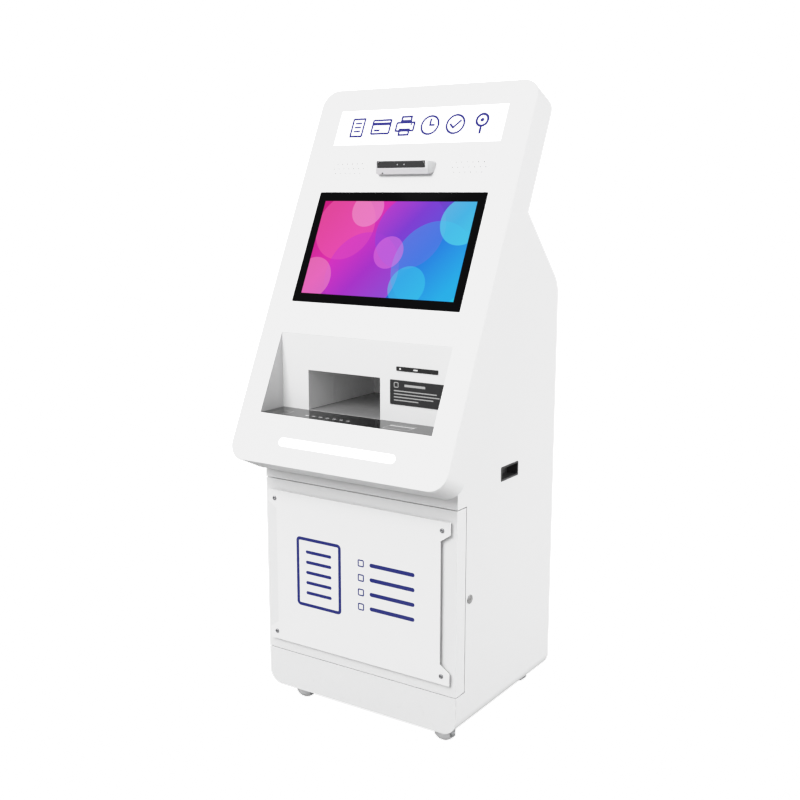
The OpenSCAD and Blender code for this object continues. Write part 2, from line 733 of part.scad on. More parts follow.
module speakers() color([0.2, 0.2, 0.2]) on_head() for (side = [-1, 1])
  translate([side * speaker_x, 0, 0]) {
    difference() {
      union() {
        head_plate(speaker_w, speaker_h, speaker_mid, speaker_r, sheet_t, sheet_t + speaker_flange);
        head_plate(speaker_w - speaker_edge, speaker_h - speaker_edge, speaker_mid, speaker_r,
          sheet_t, sheet_t + speaker_d);
      }
      head_plate(speaker_w - 2 * speaker_edge, speaker_h - 2 * speaker_edge, speaker_mid, speaker_r,
        sheet_t - past, sheet_t + speaker_d - speaker_flange);
    }
    translate([0, sheet_t + speaker_d + magnet_h, speaker_mid]) rotate([90, 0, 0])
      rod(magnet_d, 0, magnet_h);
  }

// Finger grips in the cabinet sides

grip_rim_t = 1;
rim_r = 4;
pocket_r = 3;
module grip() difference() {
  union() {
    linear_extrude(grip_rim_t) polygon(round_rect(grip_w, grip_h, rim_r));
    translate([0, 0, -grip_d]) linear_extrude(grip_d) polygon(round_rect(pocket_w, pocket_h, pocket_r));
  }
  translate([0, 0, grip_wall - grip_d]) linear_extrude(grip_d + grip_rim_t)
    polygon(round_rect(pocket_w - 2 * grip_wall, pocket_h - 2 * grip_wall, pocket_r));
}
module right_grip() color(dark_plastic) translate([half_w, grip_y, grip_z]) rotate([90, 0, 90]) grip();
module left_grip() mirror([1, 0, 0]) right_grip();

// Units inside the cabinet

inner_half = half_w - sheet_t;
shelf_z = tray_z - bay_up;
shelf_front = 15;
shelf_rear = 4;
shelf_y = [front_y + door_wrap + door_gap + shelf_front, rear_inner - rear_fold_d - shelf_rear];
printer_x = [outlet_x - printer_w / 2, outlet_x + printer_w / 2];
printer_y = [chute_y[1] + turn_gap, chute_y[1] + turn_gap + printer_d];
printer_z = [shelf_z, shelf_z + printer_h];

module shelf_rails() color(grey_metal) for (side = [0, 1]) mirror([side, 0, 0]) {
  box([inner_half - sheet_t, inner_half], shelf_y, [shelf_z - sheet_t - shelf_rail_w, shelf_z - sheet_t]);
  box([inner_half - shelf_rail_w, inner_half], shelf_y, [shelf_z - 2 * sheet_t, shelf_z - sheet_t]);
}

module printer_shelf() color(grey_metal)
  box([fit_gap - inner_half, inner_half - fit_gap], shelf_y, [shelf_z - sheet_t, shelf_z]);

module printer() color([0.75, 0.76, 0.78]) difference() {
  union() {
    case_shell(printer_x, printer_y, printer_z, printer_wall);
    box([outlet_span[0] - printer_wall, outlet_span[1] + printer_wall], [printer_y[0], printer_y[0] + bay_d],
      [outlet_z[0] - printer_wall, outlet_z[1] + printer_wall]);
  }
  box(outlet_span, [printer_y[0] - past, printer_y[0] + bay_d - printer_wall], outlet_z);
}

floor_top = base_z + sheet_t;
pc_x = -130;
psu_x = 140;
cable_room = 45;
unit_y = rear_inner - inlet_d - cable_room;

module computer() color([0.2, 0.2, 0.22])
  case_shell([pc_x - pc_w / 2, pc_x + pc_w / 2], [unit_y - pc_d, unit_y],
    [floor_top, floor_top + pc_h], sheet_t);

module power_supply() color(grey_metal)
  case_shell([psu_x - psu_w / 2, psu_x + psu_w / 2], [unit_y - psu_d, unit_y],
    [floor_top, floor_top + psu_h], sheet_t);

// Mains inlet with a rocker switch, in the rear panel

inlet_flange = 4;
inlet_flange_t = 2;
socket_w = 24;
socket_h = 17;
socket_d = 18;
socket_off = -9;
socket_x = inlet_x + socket_off;
switch_off = 15;
switch_x = inlet_x + switch_off;
contact_pitch = 7;
// Half the width and half the height of a contact, its rise, and its end below the rim
contact_half = [1, 2];
contact_up = [-1, 3, -1];
contact_in = 2;
switch_w = 12;
switch_half = 10;
switch_d = 10;
switch_gap = 1;
rocker_t = 4;
rocker_dip = 1.4;
rocker_edge = 0.6;
trunnion_d = 2.4;
trunnion_len = 1;
switch_in = 4;
switch_pivot = rear_face - switch_in;

module mains_inlet() color(dark_plastic) difference() {
  union() {
    box([inlet_x - inlet_w / 2, inlet_x + inlet_w / 2], [rear_face - inlet_d, rear_face],
      [inlet_z - inlet_h / 2, inlet_z + inlet_h / 2]);
    translate([inlet_x, 0, inlet_z]) along_y(rear_face, rear_face + inlet_flange_t)
      polygon(round_rect(inlet_w + 2 * inlet_flange, inlet_h + 2 * inlet_flange, 3));
  }
  difference() {
    box([socket_x - socket_w / 2, socket_x + socket_w / 2], [rear_face - socket_d, rear_y + past],
      [inlet_z - socket_h / 2, inlet_z + socket_h / 2]);
    for (pin = [-1:1])
      translate([socket_x + pin * contact_pitch, 0, inlet_z + contact_up[pin + 1]])
        box([-contact_half[0], contact_half[0]], [rear_face - socket_d - past, rear_face - contact_in],
          [-contact_half[1], contact_half[1]]);
  }
  box([switch_x - switch_w / 2, switch_x + switch_w / 2], [switch_pivot - switch_d, rear_y + past],
    [inlet_z - switch_half - switch_gap, inlet_z + switch_half + switch_gap]);
  translate([switch_x, switch_pivot, inlet_z]) rotate([0, 90, 0])
    rod(trunnion_d + 2 * run_gap, -switch_w / 2 - trunnion_len - turn_gap,
      switch_w / 2 + trunnion_len + turn_gap);
}

rocker_end = switch_half - rocker_edge;
module mains_switch() color("firebrick")
  translate([switch_x, switch_pivot, inlet_z]) rotate([-rocker_tilt, 0, 0]) {
  along_x(turn_gap - switch_w / 2, switch_w / 2 - turn_gap)
    polygon([[-rocker_t, rocker_edge - rocker_end], [rocker_t, -rocker_end], [rocker_t - rocker_dip, 0],
      [rocker_t, rocker_end], [-rocker_t, rocker_end - rocker_edge]]);
  rotate([0, 90, 0]) rod(trunnion_d, -switch_w / 2 - trunnion_len, switch_w / 2 + trunnion_len);
}

// Cooling fan under the vented rear slope

fan_wall = 3;
fan_bore_d = fan_w - 2 * fan_wall;
fan_corner_r = 5;
blade_root = 2;
blade_t = 1.6;
fan_hub_d = 36;
fan_plate_t = 3;
fan_arm_w = 6;
hub_gap = 1;
blade_pitch = 35;

module fan_frame() color(dark_plastic) on_slope() {
  difference() {
    translate([0, 0, -fan_d]) linear_extrude(fan_d) polygon(round_rect(fan_w, fan_w, fan_corner_r));
    rod(fan_bore_d, -fan_d - past, past);
  }
  rod(fan_hub_d, -fan_d, fan_plate_t - fan_d);
  for (turn = [45:90:315]) rotate([0, 0, turn])
    box([0, fan_bore_d / 2 + hub_gap], [-fan_arm_w / 2, fan_arm_w / 2], [-fan_d, fan_plate_t - fan_d]);
  rod(fan_shaft_d, -fan_d, -fan_plate_t);
}

module fan_rotor() color([0.15, 0.15, 0.16]) on_slope() difference() {
  union() {
    rod(fan_hub_d, fan_plate_t + turn_gap - fan_d, -fan_plate_t);
    intersection() {
      for (i = [0:fan_blades - 1]) rotate([0, 0, i * 360 / fan_blades])
        translate([0, 0, (turn_gap - fan_d) / 2]) rotate([blade_pitch, 0, 0])
          box([fan_hub_d / 2 - blade_root, fan_bore_d / 2], [-fan_d / 2, fan_d / 2],
            [-blade_t / 2, blade_t / 2]);
      rod(fan_bore_d - 2 * hub_gap, fan_plate_t + turn_gap - fan_d, -fan_plate_t);
    }
  }
  rod(fan_shaft_d + 2 * run_gap, -fan_d - past, past);
}

// Hinges: upright pins in brackets above and below each door

front_hinge = [hinge_in - half_w, front_y + door_wrap - hinge_in];
rear_hinge = [rear_door_w / 2 - hinge_in, rear_face - hinge_in];
hinge_head_d = 2 * (hinge_in - sheet_t - turn_gap);
front_low_z = door_z0 - door_gap - sheet_t;
front_high_z = door_z1 + door_gap + sheet_t;

// Copies a hinge fitting, drawn above the door, to the door's lower edge as well
module at_both_edges(z0, z1) {
  translate([0, 0, z1]) children();
  translate([0, 0, z0]) mirror([0, 0, 1]) children();
}

module hinge_brackets() color(grey_metal) {
  at_both_edges(front_low_z, front_high_z) difference() {
    box([sheet_t - half_w, sheet_t - half_w + bracket_w],
      [front_y + sheet_t, front_hinge[1] + bracket_past], [0, bracket_t]);
    translate([front_hinge[0], front_hinge[1], 0]) rod(hinge_pin_d + 2 * seat_gap, -past, bracket_t + past);
  }
  at_both_edges(rear_z0 - door_gap, rear_z1 + door_gap) difference() {
    box([rear_hinge[0] - bracket_w / 2, rear_hinge[0] + bracket_w / 2],
      [rear_hinge[1] - bracket_past, rear_inner], [0, bracket_t]);
    translate([rear_hinge[0], rear_hinge[1], 0]) rod(hinge_pin_d + 2 * seat_gap, -past, bracket_t + past);
  }
}

module hinge_pin(reach) {
  rod(hinge_pin_d, -reach, bracket_t);
  rod(hinge_head_d, bracket_t, bracket_t + hinge_head_h);
}

module hinge_pins() color(grey_metal) {
  translate([front_hinge[0], front_hinge[1], 0]) at_both_edges(front_low_z, front_high_z)
    hinge_pin(sheet_t + door_gap + bush_len);
  translate([rear_hinge[0], rear_hinge[1], 0]) at_both_edges(rear_z0 - door_gap, rear_z1 + door_gap)
    hinge_pin(door_gap + bush_len);
}

module hinge_bushes(z0, z1) at_both_edges(z0, z1) rod(2 * hinge_in - 2 * seat_gap, -bush_len, 0);
module hinge_bores(z0, z1) at_both_edges(z0, z1)
  rod(hinge_pin_d + 2 * run_gap, -bush_len - past, past);

// Front door with its poster plate

plate_up = 1.8;
plate_z = lock_z + plate_up;
plate_y = front_y - plate_off;
screw_places = [for (sx = [-1, 1], sz = [-1, 1])
  [sx * (plate_w / 2 - screw_in), plate_z + sz * (plate_h / 2 - screw_in)]];
module at_screws() for (p = screw_places) translate([p[0], plate_y, p[1]]) rotate([90, 0, 0]) children();

module front_door() color(white_paint) difference() {
  union() {
    difference() {
      box([-half_w, half_w], [front_y, front_y + door_wrap], [door_z0, door_z1]);
      box([sheet_t - half_w, half_w - sheet_t], [front_y + sheet_t, front_y + door_wrap + past],
        [door_z0 + sheet_t, door_z1 - sheet_t]);
    }
    translate([front_hinge[0], front_hinge[1], 0]) hinge_bushes(door_z0, door_z1);
  }
  translate([front_hinge[0], front_hinge[1], 0]) hinge_bores(door_z0, door_z1);
}

notch_z = notch_h / 2;
function plate_side(s) = [
  [s * plate_w / 2, -s * plate_h / 2], [s * plate_w / 2, -s * (notch_z + notch_slant)],
  [s * (plate_w / 2 - notch_d), -s * notch_z], [s * (plate_w / 2 - notch_d), s * notch_z],
  [s * plate_w / 2, s * (notch_z + notch_slant)], [s * plate_w / 2, s * plate_h / 2]];

module poster_plate() color(white_paint) difference() {
  translate([0, 0, plate_z]) along_y(plate_y - plate_t, plate_y)
    polygon(concat(plate_side(1), plate_side(-1)));
  at_screws() rod(screw_d + 2 * fit_gap, -past, plate_t + past);
}

module plate_spacers() color(grey_metal) at_screws() difference() {
  rod(spacer_d, -plate_off, 0);
  rod(screw_d + 2 * seat_gap, -plate_off - past, past);
}

module plate_screws() color("silver") at_screws() {
  rod(screw_d, -plate_off + sheet_t, plate_t);
  rotate_extrude() polygon(concat([[0, plate_t], [screw_head_d / 2, plate_t]],
    [for (a = [15:15:90]) [screw_head_d / 2 * cos(a), plate_t + screw_head_h * sin(a)]]));
}

// Locks: a barrel through the sheet, a key plug in it and a cam on the plug's inner end

key_slot = [2, 8];
key_slot_d = 4;
nut_h = 2;
nut_edge = 2;
module lock_body() difference() {
  union() {
    rod(lock_face_d, 0, lock_face_h);
    rod(lock_barrel_d, lock_inner, 0);
  }
  rod(lock_plug_d + 2 * run_gap, lock_inner - past, lock_face_h + past);
}
module lock_plug() difference() {
  union() {
    rod(lock_plug_d, lock_inner - turn_gap, lock_face_h);
    rod(cam_stud_d, lock_inner - turn_gap - cam_bar_t - nut_h, lock_inner - turn_gap);
    rod(cam_stud_d + 2 * nut_edge, lock_inner - turn_gap - cam_bar_t - nut_h,
      lock_inner - turn_gap - cam_bar_t);
  }
  translate([0, 0, lock_face_h]) cube([key_slot[0], key_slot[1], 2 * key_slot_d], center = true);
}
// The cam points along +Y of the lock
module lock_cam() translate([0, 0, lock_inner - turn_gap - cam_bar_t]) difference() {
  linear_extrude(cam_bar_t) polygon(concat(
    arc([0, 0], cam_bar_w / 2, 180, 360), [[cam_bar_w / 2, cam_len], [-cam_bar_w / 2, cam_len]]));
  rod(cam_stud_d + 2 * seat_gap, -past, cam_bar_t + past);
}

// The side lock faces +X, and its cam points forward while it is unlocked
module at_side_lock() translate([lock_x, lock_y, lock_z]) rotate([0, 90, 0]) rotate([0, 0, 180])
  children();
module side_lock_body() color("silver") at_side_lock() lock_body();
module side_lock_plug() color("silver") at_side_lock() lock_plug();
module side_lock_cam() color(grey_metal) at_side_lock() lock_cam();

// The catch stands on the door's inner face and hooks behind the cam when it points down
catch_gap = 3;
catch_t = 3;
catch_h = 20;
catch_side = 9;
cam_plane = [lock_x + lock_inner - turn_gap - cam_bar_t, lock_x + lock_inner - turn_gap];
catch_z = [lock_z - cam_len, lock_z - cam_len + catch_h];
catch_x = cam_plane[0] - catch_side;
catch_y = lock_y + cam_bar_w / 2 + catch_gap;
module door_catch() color(grey_metal) {
  box([catch_x - catch_t, catch_x], [front_y + sheet_t, catch_y + catch_t], catch_z);
  box([catch_x - catch_h, catch_x], [front_y + sheet_t, front_y + sheet_t + catch_t], catch_z);
  box([catch_x - catch_t, cam_plane[1] + catch_t], [catch_y, catch_y + catch_t], catch_z);
}

// Rear door

vent_in = 90;
vent_shift = 10;
vent_x = rear_door_w / 4 - vent_shift;
vent_places = [for (row = [0:vent_rows - 1]) each
  [rear_z0 + vent_in + row * vent_pitch, rear_z1 - vent_in - row * vent_pitch]];

module rear_door() color(white_paint) difference() {
  union() {
    difference() {
      box([-rear_door_w / 2, rear_door_w / 2], [rear_face - rear_fold_d, rear_face], [rear_z0, rear_z1]);
      box([sheet_t - rear_door_w / 2, rear_door_w / 2 - sheet_t],
        [rear_face - rear_fold_d - past, rear_face - sheet_t], [rear_z0 + sheet_t, rear_z1 - sheet_t]);
    }
    translate([rear_hinge[0], rear_hinge[1], 0]) hinge_bushes(rear_z0, rear_z1);
  }
  translate([rear_hinge[0], rear_hinge[1], 0]) hinge_bores(rear_z0, rear_z1);
  at_rear_lock() rod(lock_barrel_d + 2 * seat_gap, -sheet_t - past, past);
  for (side = [-1, 1], z = vent_places) translate([side * vent_x, 0, z])
    along_y(rear_face - sheet_t - past, rear_face + past) polygon(slot_outline(vent_len, vent_h));
}

// The rear lock faces +Y, and its cam hangs down while it is unlocked
module at_rear_lock() translate([rear_lock_x, rear_face, rear_lock_z]) rotate([-90, 0, 0]) children();
module rear_lock_body() color("silver") at_rear_lock() lock_body();
module rear_lock_plug() color("silver") at_rear_lock() lock_plug();
module rear_lock_cam() color(grey_metal) at_rear_lock() lock_cam();

// Casters

caster_spots = [[-caster_x, front_y + caster_in], [caster_x, front_y + caster_in],
  [-caster_rear_x, rear_y - caster_in], [caster_rear_x, rear_y - caster_in]];
plate_bottom = base_z - caster_plate_t;
bolt_in = 7;
bolt_off = caster_plate_w / 2 - bolt_in;
bolt_d = 6;
bolt_head_d = 9;
race_d = 40;
crown_t = 3;
wheel_z = wheel_d / 2;
crown_gap = 1.6;
crown_z = wheel_d + crown_gap;
bolt_head_h = plate_bottom - crown_z - crown_t - 3 * turn_gap;
wheel_side_gap = 2;
fork_half = wheel_w / 2 + wheel_side_gap;
fork_nose = 14;
rivet_d = kingpin_d + 5;
rivet_h = 2;
axle_head_h = 2;
axle_head_d = axle_d + 4;
plate_corner_r = 5;

module caster_plates() color("silver") for (p = caster_spots) translate([p[0], p[1], 0]) {
  difference() {
    translate([0, 0, plate_bottom]) linear_extrude(caster_plate_t)
      polygon(round_rect(caster_plate_w, caster_plate_w, plate_corner_r));
    for (sx = [-1, 1], sy = [-1, 1]) translate([sx * bolt_off, sy * bolt_off, 0])
      rod(bolt_d + 2 * fit_gap, plate_bottom - past, base_z + past);
  }
  rod(kingpin_d, crown_z - turn_gap - rivet_h, plate_bottom);
  rod(rivet_d, crown_z - turn_gap - rivet_h, crown_z - turn_gap);
}

module caster_bolts() color("silver") for (p = caster_spots, sx = [-1, 1], sy = [-1, 1])
  translate([p[0] + sx * bolt_off, p[1] + sy * bolt_off, 0]) {
    rod(bolt_d, plate_bottom, base_z);
    rod(bolt_head_d, plate_bottom - bolt_head_h, plate_bottom);
  }

// A fork turns on its kingpin, and its wheel trails to the rear
module fork(i) color(grey_metal) translate([caster_spots[i][0], caster_spots[i][1], 0]) {
  difference() {
    union() {
      rod(race_d, crown_z, plate_bottom - turn_gap);
      translate([0, 0, crown_z]) linear_extrude(crown_t)
        polygon([[-fork_half - fork_t, -fork_nose], [fork_half + fork_t, -fork_nose],
          [fork_half + fork_t, caster_trail + fork_nose], [-fork_half - fork_t, caster_trail + fork_nose]]);
      for (side = [0, 1]) mirror([side, 0, 0]) along_x(fork_half, fork_half + fork_t) polygon(concat(
        arc([caster_trail, wheel_z], axle_d, 180, 360),
        [[caster_trail + fork_nose, crown_z + crown_t], [-fork_nose, crown_z + crown_t]]));
    }
    rod(kingpin_d + 2 * run_gap, crown_z - past, plate_bottom);
    translate([0, caster_trail, wheel_z]) rotate([0, 90, 0])
      rod(axle_d + 2 * seat_gap, -fork_half - fork_t - past, fork_half + fork_t + past);
  }
  translate([0, caster_trail, wheel_z]) rotate([0, 90, 0]) {
    rod(axle_d, -fork_half - fork_t - axle_head_h, fork_half + fork_t + axle_head_h);
    for (side = [0, 1]) mirror([0, 0, side])
      rod(axle_head_d, fork_half + fork_t + seat_gap, fork_half + fork_t + axle_head_h);
  }
}

hub_dish = 3;
hub_r = axle_d + 1;
hub_end = (wheel_w + wheel_side_gap) / 2;
edge = 1;
wheel_r = wheel_d / 2;
// The tread is crowned: its edges lie this far inside its middle
tread_drop = wheel_r - hub_r - 4 * edge;
tread_r = (pow(wheel_w / 2, 2) + pow(tread_drop, 2)) / (2 * tread_drop);
tread_turn = asin(wheel_w / 2 / tread_r);
rim_in = wheel_r - tread_drop - edge;
module wheel(i) color([0.6, 0.6, 0.61])
  translate([caster_spots[i][0], caster_spots[i][1] + caster_trail, wheel_z]) rotate([0, 90, 0])
    rotate_extrude($fn = 72) polygon(concat(
      [[axle_d / 2 + run_gap, -hub_end], [hub_r, -hub_end], [hub_r + edge, hub_dish - wheel_w / 2],
        [rim_in, hub_dish - wheel_w / 2]],
      arc([wheel_r - tread_r, 0], tread_r, -tread_turn, tread_turn),
      [[rim_in, wheel_w / 2 - hub_dish],
        [hub_r + edge, wheel_w / 2 - hub_dish], [hub_r, hub_end], [axle_d / 2 + run_gap, hub_end]]));

cabinet_wrap();
kick_panel();
header_panel();
rear_panel();
head_fascia();
head_back();
recess_liner();
tray_glass();
card_reader();
outlet_chute();
notice_plate();
status_strip();
touch_glass();
lcd_module();
screen_rails();
sign_panel();
sign_box();
sign_board();
light_bar();
light_bar_board();
camera_hood();
camera_window();
camera_lenses();
camera_board();
speakers();
left_grip();
right_grip();
shelf_rails();
printer_shelf();
printer();
computer();
power_supply();
mains_inlet();
mains_switch();
fan_frame();
fan_rotor();
hinge_brackets();
hinge_pins();
front_door();
poster_plate();
plate_spacers();
plate_screws();
door_catch();
side_lock_body();
side_lock_plug();
side_lock_cam();
rear_door();
rear_lock_body();
rear_lock_plug();
rear_lock_cam();
caster_plates();
caster_bolts();
fork(0);  // fork_front_left
fork(1);  // fork_front_right
fork(2);  // fork_rear_left
fork(3);  // fork_rear_right
wheel(0);  // wheel_front_left
wheel(1);  // wheel_front_right
wheel(2);  // wheel_rear_left
wheel(3);  // wheel_rear_right
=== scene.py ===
"""The looks of a floor-standing self-service kiosk, around its packed construction."""
import math

import bpy
from mathutils import Matrix, Vector


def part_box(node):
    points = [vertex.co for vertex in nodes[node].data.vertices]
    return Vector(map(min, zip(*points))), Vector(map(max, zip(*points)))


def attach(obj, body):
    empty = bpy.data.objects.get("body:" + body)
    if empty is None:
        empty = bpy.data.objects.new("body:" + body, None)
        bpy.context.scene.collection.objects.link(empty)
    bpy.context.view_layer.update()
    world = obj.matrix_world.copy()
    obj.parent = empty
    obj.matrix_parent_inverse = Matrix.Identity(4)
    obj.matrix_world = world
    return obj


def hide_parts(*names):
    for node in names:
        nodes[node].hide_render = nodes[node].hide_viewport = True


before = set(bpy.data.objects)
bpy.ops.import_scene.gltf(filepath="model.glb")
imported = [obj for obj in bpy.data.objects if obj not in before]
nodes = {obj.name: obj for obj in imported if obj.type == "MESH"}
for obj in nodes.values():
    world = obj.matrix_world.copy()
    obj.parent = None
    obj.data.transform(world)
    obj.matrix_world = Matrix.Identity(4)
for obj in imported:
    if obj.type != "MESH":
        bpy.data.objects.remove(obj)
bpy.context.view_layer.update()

# Cabinet: one folded sheet makes the floor and both sides, and flat sheets close the kick, the header and
# the rear with its slope. It is 1.5 mm steel, welded, ground flush and powder coated white.

white_paint = (0.71, 0.711, 0.713)
aged_paint = (0.62, 0.61, 0.58)
scuffed_paint = (0.42, 0.41, 0.4)
scuff_heights = (0.06, 0.2)
coat_gloss_range = (0.34, 0.44)
sheet_edge = 0.0006
peel_scale = 420.0
peel_height = 0.00006
bump_strength = 0.5
noise_band = (0.3, 0.7)
merge_reach = 0.000002
flat_turn = math.radians(0.3)
edge_turn = math.radians(40)


def feed(tree, socket, source):
    """Gives an input a link where the source is a socket, and a plain value where it isn't."""
    if isinstance(source, bpy.types.NodeSocket):
        tree.links.new(source, socket)
    else:
        socket.default_value = source


def add(tree, kind, *sources, **settings):
    """Adds a shader node, with its settings and what goes into its inputs in turn."""
    node = tree.nodes.new("ShaderNode" + kind)
    for key, value in settings.items():
        setattr(node, key, value)
    for socket, source in zip(node.inputs, sources):
        if source is not None:
            feed(tree, socket, source)
    return node


def sums(tree, operation, *sources):
    """One Math node's result."""
    return add(tree, "Math", *sources, operation=operation).outputs[0]


def tint(tree, factor, first, second):
    """Goes from the first colour to the second as the factor goes from 0 to 1."""
    node = add(tree, "Mix", data_type="RGBA")
    for index, source in ((0, factor), (6, first), (7, second)):
        if isinstance(source, tuple):
            source = (*source, 1.0)
        feed(tree, node.inputs[index], source)
    return node.outputs[2]


def spread(tree, value, low, high, out_low, out_high, smooth=False):
    """Maps a value's range onto another, held at both ends."""
    node = add(tree, "MapRange", value, low, high, out_low, out_high)
    if smooth:
        node.interpolation_type = "SMOOTHSTEP"
    return node.outputs[0]


def noise(tree, place, scale, detail=2.0):
    """Even noise from 0 to 1 at a scale in features per metre."""
    node = add(tree, "TexNoise", place)
    feed(tree, node.inputs["Scale"], scale)
    node.inputs["Detail"].default_value = detail
    return node.outputs[0]


def shader_group(name, inputs, outputs):
    """A node group with its named sockets, and its two end nodes."""
    tree = bpy.data.node_groups.new(name, "ShaderNodeTree")
    for socket, kind, value in inputs:
        made = tree.interface.new_socket(socket, in_out="INPUT", socket_type="NodeSocket" + kind)
        made.default_value = value
    for socket, kind in outputs:
        tree.interface.new_socket(socket, in_out="OUTPUT", socket_type="NodeSocket" + kind)
    return tree, tree.nodes.new("NodeGroupInput"), tree.nodes.new("NodeGroupOutput")


def finish_group(tree, leave, *results):
    """Joins the results to the group's outputs in turn."""
    for socket, result in zip(leave.inputs, results):
        tree.links.new(result, socket)


def new_material(name, **plain):
    """A material with one shader, whose plain values are set on its own sockets."""
    material = bpy.data.materials.new(name)
    material.use_nodes = True
    shader = material.node_tree.nodes["Principled BSDF"]
    for socket, value in plain.items():
        shader.inputs[socket.replace("_", " ")].default_value = value
    return material, material.node_tree, shader


def use_group(tree, group, **values):
    """Places a group in a material, with its own values."""
    node = tree.nodes.new("ShaderNodeGroup")
    node.node_tree = group
    for socket, value in values.items():
        if isinstance(value, tuple) and len(value) == 3 and node.inputs[socket].type == "RGBA":
            value = (*value, 1.0)
        feed(tree, node.inputs[socket], value)
    return node


def surface(tree, shader, group, depth):
    """Joins a group's colour, roughness and height to the shader."""
    tree.links.new(group.outputs["Color"], shader.inputs["Base Color"])
    tree.links.new(group.outputs["Roughness"], shader.inputs["Roughness"])
    bump = add(tree, "Bump")
    bump.inputs["Strength"].default_value = bump_strength
    bump.inputs["Distance"].default_value = depth
    tree.links.new(group.outputs["Height"], bump.inputs["Height"])
    tree.links.new(bump.outputs["Normal"], shader.inputs["Normal"])


def dress(material, *names):
    """Puts one material on CAD nodes."""
    for name in names:
        nodes[name].data.materials.clear()
        nodes[name].data.materials.append(material)


def soften(radius, *names, segments=2):
    """Rounds the sharp edges of CAD nodes with modifiers, which leave their meshes as they are."""
    for name in names:
        piece = nodes[name]
        piece.data.polygons.foreach_set("use_smooth", [True] * len(piece.data.polygons))
        merge = piece.modifiers.new("merge", "WELD")
        merge.merge_threshold = merge_reach
        flat = piece.modifiers.new("flat", "DECIMATE")
        flat.decimate_type = "DISSOLVE"
        flat.angle_limit = flat_turn
        edges = piece.modifiers.new("edges", "BEVEL")
        edges.width = radius
        edges.segments = segments
        edges.limit_method = "ANGLE"
        edges.angle_limit = edge_turn
        edges.use_clamp_overlap = False
        piece.modifiers.new("normals", "WEIGHTED_NORMAL")


powder_coat, enter, leave = shader_group(
    "powder_coat",
    [("Paint", "Color", (0.8, 0.8, 0.8, 1.0)), ("Peel", "Float", peel_scale), ("Scuff", "Float", 0.0)],
    [("Color", "Color"), ("Roughness", "Float"), ("Height", "Float")])
place = add(powder_coat, "TexCoord").outputs["Object"]
cloud = noise(powder_coat, place, 3.0, 3.0)
aged = spread(powder_coat, cloud, 0.35, 0.7, 0.0, 0.03)
clean = tint(powder_coat, aged, enter.outputs["Paint"], aged_paint)
height_up = add(powder_coat, "SeparateXYZ", place).outputs["Z"]
near_floor = spread(powder_coat, height_up, *scuff_heights, 1.0, 0.0)
rubbed = spread(powder_coat, noise(powder_coat, place, 60.0, 6.0), 0.58, 0.76, 0.0, 0.12)
rubbed_low = sums(powder_coat, "MULTIPLY", near_floor, rubbed)
scuffed = sums(powder_coat, "MULTIPLY", rubbed_low, enter.outputs["Scuff"])
coat_colour = tint(powder_coat, scuffed, clean, scuffed_paint)
coat_gloss = spread(powder_coat, noise(powder_coat, place, 90.0), *noise_band, *coat_gloss_range)
peel = noise(powder_coat, place, enter.outputs["Peel"], 1.0)
finish_group(powder_coat, leave, coat_colour, coat_gloss, peel)


def painted_steel(name, paint, scuff=0.0):
    """Powder-coated steel: a faint orange peel, slow shifts of tone and light scuffs near the floor."""
    material, tree, shader = new_material(name)
    surface(tree, shader, use_group(tree, powder_coat, Paint=paint, Scuff=scuff), peel_height)
    return material


white_steel = painted_steel("white_steel", white_paint)
low_steel = painted_steel("low_steel", white_paint, 1.0)
dress(low_steel, "cabinet_wrap", "kick_panel")
dress(white_steel, "header_panel", "rear_panel")
soften(sheet_edge, "cabinet_wrap", "kick_panel", "header_panel", "rear_panel")

# Casters: a pressed plate bolted under each corner, a fork that swivels on a kingpin and a wheel on an
# axle. Plate, fork and bolts are zinc-plated steel, and the wheel is a grey tread on a plastic hub.

zinc = (0.78, 0.79, 0.80)
zinc_shade = (0.38, 0.385, 0.4)
zinc_gloss_range = (0.28, 0.46)
spangle_height = 0.00002
tread_grey = (0.66, 0.66, 0.665)
hub_grey = (0.48, 0.485, 0.49)
hub_reach = 0.013
hub_blur = 0.0003
tread_height = 0.00008
worn_plastic = (0.45, 0.45, 0.45)
gloss_shift = (-0.05, 0.05)
grain_height = 0.00005
fork_edge = 0.0007
fine_edge = 0.0004

plated_zinc, enter, leave = shader_group(
    "plated_zinc",
    [("Metal", "Color", (0.6, 0.6, 0.6, 1.0)), ("Spangle", "Float", 160.0)],
    [("Color", "Color"), ("Roughness", "Float"), ("Height", "Float")])
place = add(plated_zinc, "TexCoord").outputs["Object"]
crystals = add(plated_zinc, "TexVoronoi", place)
feed(plated_zinc, crystals.inputs["Scale"], enter.outputs["Spangle"])
shade = add(plated_zinc, "SeparateColor", crystals.outputs["Color"]).outputs[0]
zinc_colour = tint(plated_zinc, spread(plated_zinc, shade, 0.0, 1.0, 0.0, 0.35),
                   enter.outputs["Metal"], zinc_shade)
zinc_gloss = spread(plated_zinc, noise(plated_zinc, place, 60.0, 4.0), *noise_band, *zinc_gloss_range)
finish_group(plated_zinc, leave, zinc_colour, zinc_gloss, noise(plated_zinc, place, 900.0))

moulded, enter, leave = shader_group(
    "moulded_plastic",
    [("Plastic", "Color", (0.1, 0.1, 0.1, 1.0)), ("Grain", "Float", 700.0), ("Gloss", "Float", 0.4)],
    [("Color", "Color"), ("Roughness", "Float"), ("Height", "Float")])
place = add(moulded, "TexCoord").outputs["Object"]
worn = spread(moulded, noise(moulded, place, 14.0, 4.0), 0.35, 0.75, 0.0, 0.12)
plastic_colour = tint(moulded, worn, enter.outputs["Plastic"], worn_plastic)
uneven = spread(moulded, noise(moulded, place, 55.0), *noise_band, *gloss_shift)
plastic_gloss = sums(moulded, "ADD", enter.outputs["Gloss"], uneven)
grain = noise(moulded, place, enter.outputs["Grain"], 2.0)
finish_group(moulded, leave, plastic_colour, plastic_gloss, grain)


